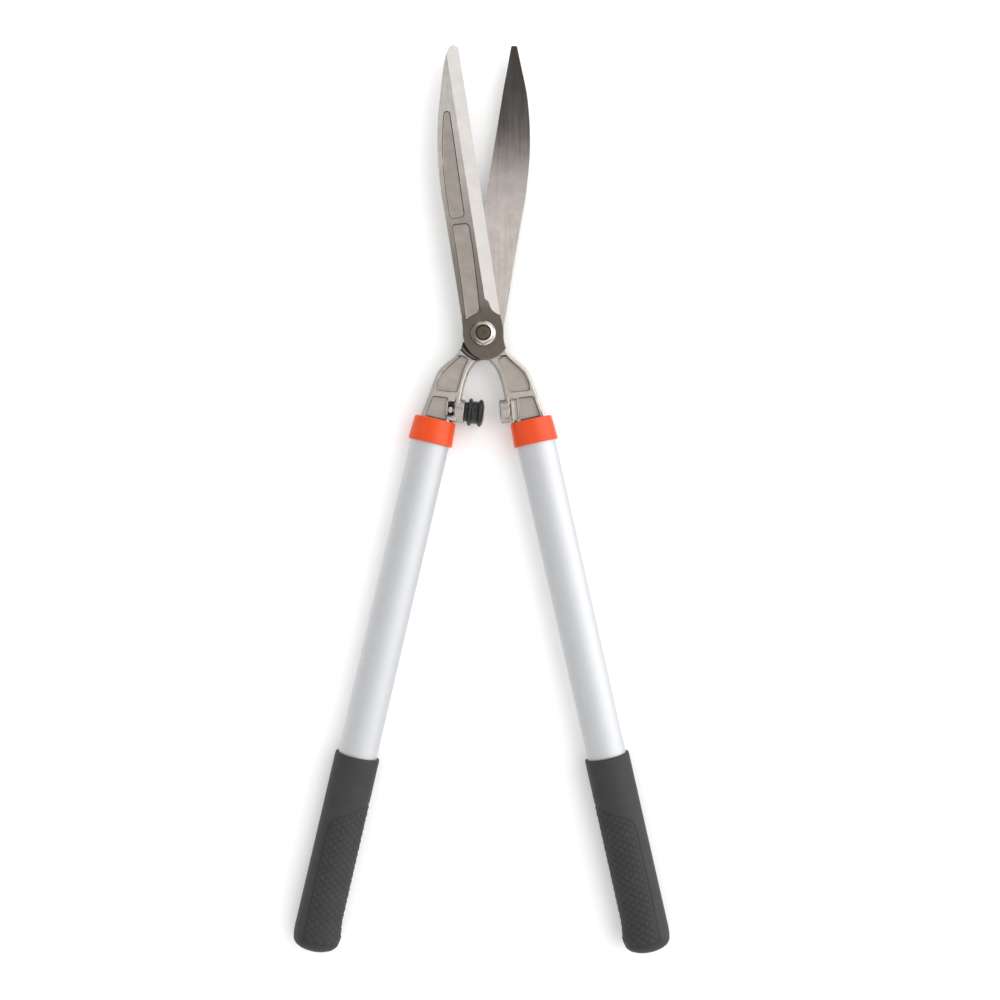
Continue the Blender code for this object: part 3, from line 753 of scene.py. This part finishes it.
def round_edges(obj):
    """Rounds a forging's sharp edges."""
    mesh = obj.data
    normals = {}
    for face in mesh.polygons:
        for key in face.edge_keys:
            normals.setdefault(key, []).append(face.normal)
    weights = mesh.attributes.new("bevel_weight_edge", "FLOAT", "EDGE")
    for edge in mesh.edges:
        sides = normals.get(edge.key, [])
        if len(sides) == 2 and sides[0].angle(sides[1], 0) >= SHARP_ANGLE:
            a, b = (mesh.vertices[i].co for i in edge.vertices)
            weights.data[edge.index].value = rounding_share((a + b) / 2)
    return apply_modifier(
        obj, "BEVEL", width=EDGE_ROUNDING, segments=2, limit_method="WEIGHT",
        use_clamp_overlap=False,
    )


def boss_matrix(half):
    """Local +Z runs through the boss, from the face that looks at the other half."""
    across = Matrix.Rotation(math.radians(90), 4, "Y")
    return stop_matrix() @ Matrix.Translation((BOSS_FACES[half], -BOSS_DISTANCE, 0)) @ across


def carve_blade(body):
    """Sets the blade and disc back from the bracket's thickness, and grinds the cutting edge."""
    clearances = (
        (RUB_CLEAR_RADIUS, -FAR, FACE_GAP), (DISC_CLEAR_RADIUS, BLADE_THICKNESS, FAR)
    )
    for radius, low, high in clearances:
        combine(body, rod(radius, low, high, DISC_SIDES))
        combine(body, block((-FAR, BLADE_CLEAR_START, low), (FAR, 4 * FAR, high)))
    combine(body, ground_face_cutter())


def sink_panels(body):
    """Two panels in the blade's outer face, and two in each face of the bracket."""
    for outline in BLADE_PANELS:
        combine(body, panel_cutter(outline, BLADE_PANEL_FLOOR, 1))
    for outline in BRACKET_PANELS:
        for side in (1, -1):
            combine(body, panel_cutter(outline, BRACKET_PANEL_FLOOR, side))


def add_tang(body):
    tang = block(
        (-TANG_HALF_WIDTH, -TANG_HALF_THICKNESS, TANG_START),
        (TANG_HALF_WIDTH, TANG_HALF_THICKNESS, TANG_END),
    )
    combine(body, place(tang, handle_matrix()), "UNION")


def add_boss(body, half):
    """The boss with the pocket behind it. The upper half's pocket has a stiffening rib."""
    boss = turned("boss", scaled(BOSS_PROFILE), 72)
    combine(body, place(boss, boss_matrix(half)), "UNION")
    back = BOSS_FACES[half] + BOSS_LENGTH
    low, high = POCKET_FLOORS[half]
    recess = block(
        (back, -POCKET_BOTTOM[half], low), (back + POCKET_WIDTH, -POCKET_TOP[half], high)
    )
    combine(body, place(recess, stop_matrix()))
    if half == "upper":
        near, far = (back / MM + side for side in RIB_SIDES)
        foot, head = RIB_ENDS
        outline = ((near, foot, False), (far, foot, False), (far, head, False), (near, head, False))
        rib = flat_solid("rib", outline, *RIB_HEIGHTS, RIB_ROUNDING)
        combine(body, place(rib, stop_matrix()), "UNION")


def bore_forging(body, half):
    """A round hole for the bolt's shank, or a square one for its neck and one for the buffer."""
    if half == "upper":
        combine(body, rod(BOLT_SHANK_RADIUS + FACE_GAP, -FAR, FAR))
        return
    stud_hole = rod(STUD_RADIUS, -MM, BOSS_LENGTH + MM, STUD_SIDES)
    combine(body, place(stud_hole, boss_matrix(half)))
    neck = NECK_HALF_WIDTH + FACE_GAP
    combine(body, block((-neck, -neck, -FAR), (neck, neck, FAR)))


def finish_zones(body, steels):
    """Gives each face its steel, and keeps the border of the ground face crisp."""
    names = list(steels)
    body.data.materials.clear()
    for name in names:
        body.data.materials.append(steels[name])
    borders = {}
    for polygon in body.data.polygons:
        zone = zone_of(polygon.center, polygon.normal)
        polygon.material_index = names.index(zone)
        for key in polygon.edge_keys:
            borders.setdefault(key, set()).add(zone == "edge")
    for edge in body.data.edges:
        edge.use_edge_sharp = len(borders[edge.key]) == 2


def make_forging(half, steels):
    """One forged half: blade, pivot disc, bracket, boss and tang."""
    name = f"{half}_forging"
    outline = HALF_OUTLINE if half == "upper" else LOWER_TIP + HALF_OUTLINE[TIP_POINTS:]
    body = flat_solid(name, outline, -BRACKET_REACH, BRACKET_REACH, BRACKET_ROUNDING)
    carve_blade(body)
    sink_panels(body)
    add_tang(body)
    add_boss(body, half)
    bore_forging(body, half)
    tidy_mesh(body, FORGING_MERGE)
    round_edges(body)
    finish_zones(body, steels)
    weighted_normals(body)
    place(body, half_matrix(half))
    return finish_piece(body, name, f"{half}_half", [f"{half}_blade"])


# ---------------------------------------------------------------- handles


def make_tube(side, half, material):
    """An oval drawn tube with lightly rounded ends."""
    deselect()
    bpy.ops.mesh.primitive_cylinder_add(
        vertices=OVAL_SIDES, radius=1, depth=TUBE_END - TUBE_START, end_fill_type="NOTHING",
        location=(0, 0, (TUBE_START + TUBE_END) / 2),
        scale=(TUBE_HALF_WIDTH, TUBE_HALF_THICKNESS, 1),
    )
    tube = apply_place(bpy.context.object)
    tidy_mesh(tube)
    apply_modifier(tube, "SOLIDIFY", thickness=TUBE_WALL, use_even_offset=True)
    apply_modifier(tube, "BEVEL", width=TUBE_ROUNDING, segments=2, angle_limit=math.radians(60))
    weighted_normals(tube)
    place(tube, half_matrix(half) @ handle_matrix())
    return finish_piece(
        tube, f"{side}_handle_tube", f"{half}_half", [f"{side}_tube"],
        material,
    )


def make_collar(side, half, material):
    """A flared oval cap over the tube's end, slotted for the bracket's shank."""
    deselect()
    bpy.ops.mesh.primitive_cone_add(
        vertices=OVAL_SIDES, radius1=COLLAR_START_RADIUS, radius2=COLLAR_END_RADIUS,
        depth=COLLAR_END - COLLAR_START, location=(0, 0, (COLLAR_START + COLLAR_END) / 2),
    )
    collar = bpy.context.object
    collar.scale.y = COLLAR_FLATNESS
    apply_place(collar)
    apply_modifier(
        collar, "BEVEL", width=COLLAR_ROUNDING, segments=4, angle_limit=math.radians(40)
    )
    combine(collar, rod(
        TUBE_HALF_WIDTH + SLIDE_GAP, COLLAR_START + COLLAR_TOP_WALL, COLLAR_END + FAR, OVAL_SIDES,
        (TUBE_HALF_THICKNESS + SLIDE_GAP) / (TUBE_HALF_WIDTH + SLIDE_GAP),
    ))
    width, thickness = SHANK_HALF_WIDTH + SLIDE_GAP, BRACKET_REACH + SLIDE_GAP
    combine(collar, block((-width, -thickness, 0), (width, thickness, COLLAR_END)))
    weighted_normals(collar)
    place(collar, half_matrix(half) @ handle_matrix())
    return finish_piece(
        collar, f"{side}_handle_collar", f"{half}_half", [f"{side}_collar"],
        material,
    )


def between(stops, place_at):
    """The straight-line value between stops of (place, value), and the slope there."""
    for (a, low), (b, high) in zip(stops, stops[1:]):
        if place_at <= b:
            return low + (high - low) * max(0.0, (place_at - a) / (b - a)), (high - low) / (b - a)
    return stops[-1][1], 0.0


def eased(low, high, value):
    """Rises softly from 0 at low to 1 at high."""
    t = min(1.0, max(0.0, (value - low) / (high - low)))
    return t * t * (3 - 2 * t)


def section_at(distance):
    """The grip's shift and half width at a distance from its mouth, on a smooth curve."""
    points = GRIP_SECTIONS
    for i in range(len(points) - 1):
        if distance <= points[i + 1][0]:
            break
    before, start = points[max(i - 1, 0)], points[i]
    end, after = points[i + 1], points[min(i + 2, len(points) - 1)]
    span = end[0] - start[0]
    t = (distance - start[0]) / span
    values = []
    for k in (1, 2):
        slope_a = (end[k] - before[k]) / max(end[0] - before[0], 1e-6) * span
        slope_b = (after[k] - start[k]) / max(after[0] - start[0], 1e-6) * span
        if span > 20:
            slope_a = slope_b = end[k] - start[k]
        values.append(
            (2 * t**3 - 3 * t**2 + 1) * start[k] + (t**3 - 2 * t**2 + t) * slope_a
            + (3 * t**2 - 2 * t**3) * end[k] + (t**3 - t**2) * slope_b
        )
    return values


def grip_relief(distance, across, around):
    """Height in millimetres of the pebbled panel, its border groove and the rings by the heel."""
    edge, slope = between(PANEL_EDGE, distance)
    inside = min((edge - across) / math.hypot(1, slope), (PANEL_END - distance))
    height = -BORDER_DEPTH * math.exp(-((inside / BORDER_HALF_WIDTH) ** 2))
    if inside > 0:
        wave = math.cos(math.tau * distance / PEBBLE_PITCH_ALONG)
        wave *= math.cos(math.tau * around / PEBBLE_PITCH_AROUND)
        pebble = eased(-0.25, 0.85, wave)
        height += eased(0.5, 1.6, inside) * (PEBBLE_HEIGHT * pebble - PEBBLE_SINK)
    for ring in RING_LINES:
        height -= RING_DEPTH * math.exp(-(((distance - ring) / RING_HALF_WIDTH) ** 2))
    return height


def make_grip(side, half, material):
    """A moulded rubber sleeve: a heel, a pebbled panel facing the other handle and a blind bore."""
    length = GRIP_SECTIONS[-1][0]
    deselect()
    bpy.ops.mesh.primitive_cylinder_add(
        vertices=GRIP_SIDES, radius=1, depth=1, end_fill_type="NOTHING", location=(0, 0, 0.5)
    )
    grip = apply_place(bpy.context.object)
    bpy.ops.object.mode_set(mode="EDIT")
    bpy.ops.mesh.select_mode(type="EDGE")
    bpy.ops.mesh.select_all(action="DESELECT")
    bpy.ops.object.mode_set(mode="OBJECT")
    for edge in grip.data.edges:
        a, b = (grip.data.vertices[i].co for i in edge.vertices)
        edge.select = abs(a.z - b.z) > 0.5
    bpy.ops.object.mode_set(mode="EDIT")
    bpy.ops.mesh.subdivide(number_cuts=GRIP_RINGS)
    bpy.ops.mesh.select_mode(type="VERT")
    bpy.ops.object.mode_set(mode="OBJECT")

    # The mould's own shape: every vertex goes to its section, then stands out by the relief.
    relief = grip.data.attributes.new("relief", "FLOAT", "POINT")
    for vertex in grip.data.vertices:
        distance = vertex.co.z * length
        angle = math.atan2(vertex.co.y, vertex.co.x)
        shift, half_width = section_at(distance)
        across = half_width * math.cos(angle) - shift
        through = half_width * GRIP_FLATNESS * math.sin(angle)
        around = half_width * GRIP_GIRTH * (math.pi - abs(angle))
        height = grip_relief(distance, across, around)
        relief.data[vertex.index].value = height
        normal = Vector((math.cos(angle) * GRIP_FLATNESS, math.sin(angle), 0)).normalized()
        vertex.co.x = (across + normal.x * height) * MM
        vertex.co.y = (through + normal.y * height) * MM
        vertex.co.z = GRIP_START + distance * MM

    end_ring = GRIP_START + length * MM
    mouth_width = GRIP_SECTIONS[0][2] * MM
    close_ring(grip, end_ring, GRIP_DOME)
    open_bore(grip, GRIP_START, TUBE_HALF_WIDTH + SLIDE_GAP, mouth_width)
    tidy_mesh(grip)
    smooth(grip, 50)
    place(grip, half_matrix(half) @ handle_matrix())
    return finish_piece(
        grip, f"{side}_handle_grip", f"{half}_half", [f"{side}_grip"], material
    )


def select_ring(obj, height):
    """Leaves the object in edit mode with the ring of points at that height selected."""
    activate(obj)
    bpy.ops.object.mode_set(mode="EDIT")
    bpy.ops.mesh.select_all(action="DESELECT")
    bpy.ops.object.mode_set(mode="OBJECT")
    for vertex in obj.data.vertices:
        vertex.select = abs(vertex.co.z - height) < 1e-6
    bpy.ops.object.mode_set(mode="EDIT")
    bpy.ops.mesh.select_mode(type="VERT")


def close_ring(obj, height, steps):
    """Domes the end of a sleeve: each step is the ring's share of its first size, and its rise."""
    select_ring(obj, height)
    size, rise = 1.0, 0.0
    for share, level in steps:
        bpy.ops.mesh.extrude_region_move(
            TRANSFORM_OT_translate={"value": (0, 0, (level - rise) * MM)}
        )
        scale = share / size
        bpy.ops.transform.resize(value=(scale, scale, 1))
        size, rise = share, level
    bpy.ops.mesh.edge_face_add()
    bpy.ops.object.mode_set(mode="OBJECT")


def open_bore(obj, height, bore_width, mouth_width):
    """Turns the mouth's ring inwards and runs it down to the end of the bore."""
    outer, inner = mouth_width - GRIP_LIP, bore_width + GRIP_LIP
    shares = (
        (outer / mouth_width, -GRIP_LIP / 2), (inner / outer, 0),
        (bore_width / inner, 0.3 * MM), (1, GRIP_BORE_END - GRIP_START),
    )
    select_ring(obj, height)
    for share, depth in shares:
        bpy.ops.mesh.extrude_region_move(TRANSFORM_OT_translate={"value": (0, 0, depth)})
        bpy.ops.transform.resize(value=(share, share, 1))
    bpy.ops.mesh.edge_face_add()
    bpy.ops.object.mode_set(mode="OBJECT")


# ---------------------------------------------------------------- buffer and pivot


def buffer_matrix():
    """Local +Z runs from the lower half's boss out through the buffer."""
    place_in_half = Matrix.Translation((BOSS_FACES["lower"], -BOSS_DISTANCE, 0))
    return (
        half_matrix("lower") @ stop_matrix() @ place_in_half
        @ Matrix.Rotation(math.radians(-90), 4, "Y")
    )


def make_buffer(material):
    """A ribbed rubber stop round the head of its stud."""
    buffer = turned("buffer", scaled(BUFFER_PROFILE))
    apply_modifier(
        buffer, "BEVEL", width=BUFFER_ROUNDING, segments=3, angle_limit=math.radians(25)
    )
    smooth(buffer, 35)
    place(buffer, buffer_matrix())
    return finish_piece(
        buffer, "stop_buffer", "lower_half", ["buffer"], material
    )


def make_buffer_nut(material):
    """The small hex nut on the buffer's stud, chamfered on both sides."""
    start = -(BOSS_LENGTH + BUFFER_NUT_GAP)
    nut = rod(BUFFER_NUT_HALF_WIDTH * HEX_CORNER, start - BUFFER_NUT_HEIGHT, start, 6)
    crown = turned("crown", scaled(BUFFER_NUT_CROWN, start), 48)
    combine(nut, crown, "INTERSECT")
    combine(nut, rod(STUD_RADIUS, -FAR, FAR, STUD_SIDES))
    apply_modifier(nut, "BEVEL", width=0.15 * MM, segments=2, angle_limit=math.radians(25))
    weighted_normals(nut)
    place(nut, buffer_matrix())
    return finish_piece(
        nut, "stop_buffer_nut", "lower_half", ["buffer_nut"], material
    )


def make_pivot_nut(material):
    """A flanged hex nut with a conical crown, and a seat in it for the lock ring."""
    nut = rod(NUT_WIDTH / 2 * HEX_CORNER, NUT_BOTTOM + 0.5 * MM, NUT_TOP, 6)
    crown = turned("crown", scaled(NUT_CROWN, NUT_TOP) + [(NUT_FLANGE_RADIUS, 0), (0, 0)])
    combine(nut, crown, "INTERSECT")
    combine(nut, turned("flange", scaled(NUT_FLANGE, NUT_BOTTOM)), "UNION")
    combine(nut, rod(BOLT_THREAD_RADIUS + SLIDE_GAP, 0, 2 * FAR))
    combine(nut, rod(LOCK_RING_RADIUS + FACE_GAP, NUT_TOP - LOCK_RING_SEAT, 2 * FAR))
    tidy_mesh(nut, 0.01 * MM)
    apply_modifier(
        nut, "BEVEL", width=0.25 * MM, segments=3, angle_limit=math.radians(22),
        use_clamp_overlap=False,
    )
    weighted_normals(nut)
    return finish_piece(
        nut, "pivot_flange_nut", "lower_half", ["pivot_nut"], material
    )


def make_pivot_bolt(material):
    """A carriage bolt: domed head underneath, square neck, shank, and a thread up to the nut."""
    head_top = DISC_BOTTOM - FACE_GAP
    shank_end = DISC_TOP - BOLT_SHANK_SET_BACK
    bolt = turned("bolt", [
        *scaled(BOLT_END, NUT_TOP - FACE_GAP),
        (BOLT_THREAD_RADIUS, shank_end), (BOLT_SHANK_RADIUS, shank_end),
        (BOLT_SHANK_RADIUS, head_top),
        *scaled(BOLT_HEAD_TOP, head_top), *scaled(BOLT_HEAD_FOOT),
    ])
    neck = NECK_HALF_WIDTH
    combine(bolt, block(
        (-neck, -neck, head_top - MM), (neck, neck, head_top + NECK_LENGTH)
    ), "UNION")
    weighted_normals(bolt)
    return finish_piece(
        bolt, "pivot_carriage_bolt", "lower_half", ["pivot_bolt"], material
    )


def make_lock_ring(material):
    """The nylon ring in the nut's crown that keeps it from working loose."""
    inner, top = BOLT_THREAD_RADIUS + FACE_GAP, NUT_TOP - FACE_GAP
    low, shoulder = NUT_TOP - LOCK_RING_DEPTH, top - LOCK_RING_CROWN
    ring = turned("ring", [
        (inner, shoulder), ((inner + LOCK_RING_RADIUS) / 2, top),
        (LOCK_RING_RADIUS, shoulder), (LOCK_RING_RADIUS, low), (inner, low), (inner, shoulder),
    ])
    smooth(ring, ROUND_ANGLE)
    return finish_piece(
        ring, "pivot_nylon_lock_ring", "lower_half", ["pivot_lock_ring"], material
    )


def dull_surface(name, dark, light, roughness, grain, bump, patch=12, hollow=None, **extra):
    """A non-metal skin: two close tones in soft patches and a fine moulded grain.

    The hollows of a moulded pattern, stored with the mesh as its relief, can be painted darker, as
    painted shade.
    """
    material, tree, shader = new_material(name, Roughness=roughness, **extra)
    spot = object_pattern(tree)
    cloud = add_node(
        tree, "ShaderNodeTexNoise", {"Vector": spot, "Scale": per_mm(patch), "Detail": 3}
    ).outputs["Fac"]
    fine = add_node(
        tree, "ShaderNodeTexNoise",
        {"Vector": spot, "Scale": per_mm(grain), "Detail": 4, "Roughness": 0.6},
    ).outputs["Fac"]
    tone = add_node(
        tree, "ShaderNodeValToRGB", {"Fac": cloud}, ((0.35, dark), (0.65, light))
    ).outputs["Color"]
    # Painted shade: the lower the relief, the darker the tone.
    if hollow:
        level = add_node(tree, "ShaderNodeAttribute", attribute_name="relief").outputs["Fac"]
        share = add_node(
            tree, "ShaderNodeMapRange",
            {"Value": level, "From Min": -0.5, "From Max": 0.0, "To Min": 0, "To Max": 1},
        ).outputs["Result"]
        shade = add_node(
            tree, "ShaderNodeValToRGB", {"Fac": share}, ((0, hollow), (1, "#FFFFFF"))
        ).outputs["Color"]
        tone = add_node(
            tree, "ShaderNodeMix", {"Factor": 1.0, "A": tone, "B": shade},
            data_type="RGBA", blend_type="MULTIPLY",
        ).outputs["Result"]
    tree.links.new(tone, shader.inputs["Base Color"])
    rough = add_node(
        tree, "ShaderNodeMapRange",
        {"Value": fine, "From Min": 0.3, "From Max": 0.7,
         "To Min": roughness - 0.05, "To Max": roughness + 0.05},
    ).outputs["Result"]
    tree.links.new(rough, shader.inputs["Roughness"])
    relief = add_node(
        tree, "ShaderNodeBump", {"Height": fine, "Distance": bump * MM, "Strength": 0.5}
    ).outputs["Normal"]
    tree.links.new(relief, shader.inputs["Normal"])
    return material


def make_finishes():
    """The finishes of everything that isn't forged."""
    return {
        # Satin anodised aluminium: an even silver-white skin, with faint lines along the tube.
        "aluminium": steel(
            "satin_anodised_aluminium", "#CDCED0", "#D1D2D4", 0.6, 0.03, 0.5, (1, 0.03, 1),
            (0, 0, 0), 0.008,
        ),
        # Moulded nylon in safety orange: a soft even gloss.
        "orange": dull_surface(
            "moulded_orange_nylon", "#DE4403", "#E44A05", 0.31, 0.5, 0.02, IOR=1.46,
        ),
        # Soft thermoplastic rubber: dark grey and matt, with a dry fine grain, and painted shade in
        # the hollows of its pattern.
        "grip": dull_surface(
            "soft_grip_rubber", "#292929", "#2E2E2E", 0.6, 0.45, 0.05, hollow="#9A9A9A", IOR=1.5,
        ),
        # Vulcanised rubber: near black with a dull gleam on its ribs.
        "rubber": dull_surface(
            "vulcanised_black_rubber", "#141414", "#1C1C1C", 0.36, 0.5, 0.03, IOR=1.52,
        ),
        # Nickel plate over a turned nut: bright and warm, with faint turning marks, and painted
        # shade darkening its left side.
        "nickel": steel(
            "nickel_plated_steel", "#DCD5CC", "#EDE8E1", 0.16, 0.03, 0.7, (1, 1, 1),
            (0, 0, 0), 0.01, painted_shade_across_nut,
        ),
        # Zinc plate: pale grey and a little cloudy.
        "zinc": steel(
            "zinc_plated_steel", "#BDBBB6", "#D0CECA", 0.32, 0.05, 0.9, (1, 1, 1),
            (0, 0, 0), 0.01,
        ),
        # Oiled black oxide: dark olive brown, dull.
        "oxide": steel(
            "oiled_black_oxide_steel", "#585044", "#665E51", 0.42, 0.06, 0.8, (1, 1, 1),
            (0, 0, 0), 0.03,
        ),
        "dark_nylon": dull_surface(
            "dark_lock_ring_nylon", "#221F19", "#2C2820", 0.6, 0.5, 0.02, IOR=1.53,
        ),
        "nylon": dull_surface(
            "natural_nylon", "#D8D3C6", "#E2DDD1", 0.45, 0.6, 0.02, IOR=1.53,
        ),
    }


# ---------------------------------------------------------------- studio


def make_floor():
    """A matt white floor that glows a little, as a floor lit from below does."""
    deselect()
    bpy.ops.mesh.primitive_plane_add(size=FLOOR_SIZE)
    floor = bpy.context.object
    floor.name = "studio_floor"
    material, _, shader = new_material("matt_white_floor", Roughness=0.9)
    shader.inputs["Base Color"].default_value = colour("#F6F6F6")
    shader.inputs["Specular IOR Level"].default_value = 0.1
    shader.inputs["Emission Color"].default_value = colour("#FFFFFF")
    shader.inputs["Emission Strength"].default_value = FLOOR_GLOW
    floor.data.materials.append(material)


def make_world():
    """A bright room, brightest on the right, with one dark flag hung behind the blades' tips."""
    world = bpy.data.worlds.new("studio_room")
    bpy.context.scene.world = world
    world.use_nodes = True
    tree = world.node_tree
    way = add_node(tree, "ShaderNodeTexCoord").outputs["Generated"]
    parts = add_node(tree, "ShaderNodeSeparateXYZ", {0: way}).outputs
    height = add_node(
        tree, "ShaderNodeMath", {0: parts["Z"], 1: 0.05}, operation="MAXIMUM"
    ).outputs[0]
    room = add_node(
        tree, "ShaderNodeMapRange",
        {"Value": parts["X"], "From Min": -1, "From Max": 1,
         "To Min": ROOM_LEFT, "To Max": ROOM_RIGHT},
    ).outputs["Result"]
    shares = []
    for axis, edges in (("Y", FLAG_NEAR), ("Y", FLAG_FAR), ("X", FLAG_LEFT), ("X", FLAG_RIGHT)):
        slope = add_node(
            tree, "ShaderNodeMath", {0: parts[axis], 1: height}, operation="DIVIDE"
        ).outputs[0]
        shares.append(add_node(
            tree, "ShaderNodeMapRange",
            {"Value": slope, "From Min": edges[0], "From Max": edges[1], "To Min": 0, "To Max": 1},
            interpolation_type="SMOOTHSTEP",
        ).outputs["Result"])
    flag = shares[0]
    for share in shares[1:]:
        flag = add_node(
            tree, "ShaderNodeMath", {0: flag, 1: share}, operation="MULTIPLY"
        ).outputs[0]
    light = add_node(
        tree, "ShaderNodeMix", {"Factor": flag, "A": room, "B": FLAG_LIGHT}, data_type="FLOAT"
    ).outputs["Result"]
    seen = add_node(tree, "ShaderNodeLightPath").outputs["Is Camera Ray"]
    strength = add_node(
        tree, "ShaderNodeMix", {"Factor": seen, "A": light, "B": 1.0}, data_type="FLOAT"
    ).outputs["Result"]
    background = tree.nodes["Background"]
    background.inputs["Color"].default_value = (1, 1, 1, 1)
    tree.links.new(strength, background.inputs["Strength"])


def make_studio():
    """The floor, the room and one broad soft key light from the right."""
    make_floor()
    make_world()
    data = bpy.data.lights.new("key_light", "SUN")
    data.energy = KEY_POWER
    data.angle = KEY_SPREAD
    key = bpy.data.objects.new("key_light", data)
    bpy.context.scene.collection.objects.link(key)
    key.rotation_euler = KEY_TURN
    scene = bpy.context.scene
    scene.view_settings.view_transform = "Standard"
    scene.view_settings.look = "None"


def make_camera():
    """Straight above, a little towards the handles."""
    data = bpy.data.cameras.new("camera")
    camera = bpy.data.objects.new("camera", data)
    bpy.context.scene.collection.objects.link(camera)
    camera.location = CAMERA_PLACE
    camera.rotation_euler.z = CAMERA_ROLL
    data.sensor_width = 36
    data.lens = CAMERA_LENS
    data.clip_start = 0.01
    bpy.context.scene.camera = camera


def finish_nodes(finishes):
    """The pieces that keep their frame shape get their finish in their own slots."""
    kept = {
        "nylon": ("left_tang_insert", "right_tang_insert", "left_tube_plug", "right_tube_plug"),
        "zinc": (
            "left_tang_pin_upper", "left_tang_pin_lower", "right_tang_pin_upper",
            "right_tang_pin_lower", "buffer_stud",
        ),
    }
    for finish, nodes in kept.items():
        for node in nodes:
            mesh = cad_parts[node].data
            mesh.materials.clear()
            mesh.materials.append(finishes[finish])


def main():
    steels = make_steels()
    finishes = make_finishes()
    for side, half in (("left", "lower"), ("right", "upper")):
        make_forging(half, steels)
        make_tube(side, half, finishes["aluminium"])
        make_collar(side, half, finishes["orange"])
        make_grip(side, half, finishes["grip"])
    make_buffer(finishes["rubber"])
    make_buffer_nut(finishes["zinc"])
    make_pivot_nut(finishes["nickel"])
    make_pivot_bolt(finishes["oxide"])
    make_lock_ring(finishes["dark_nylon"])
    finish_nodes(finishes)
    make_studio()
    make_camera()


main()
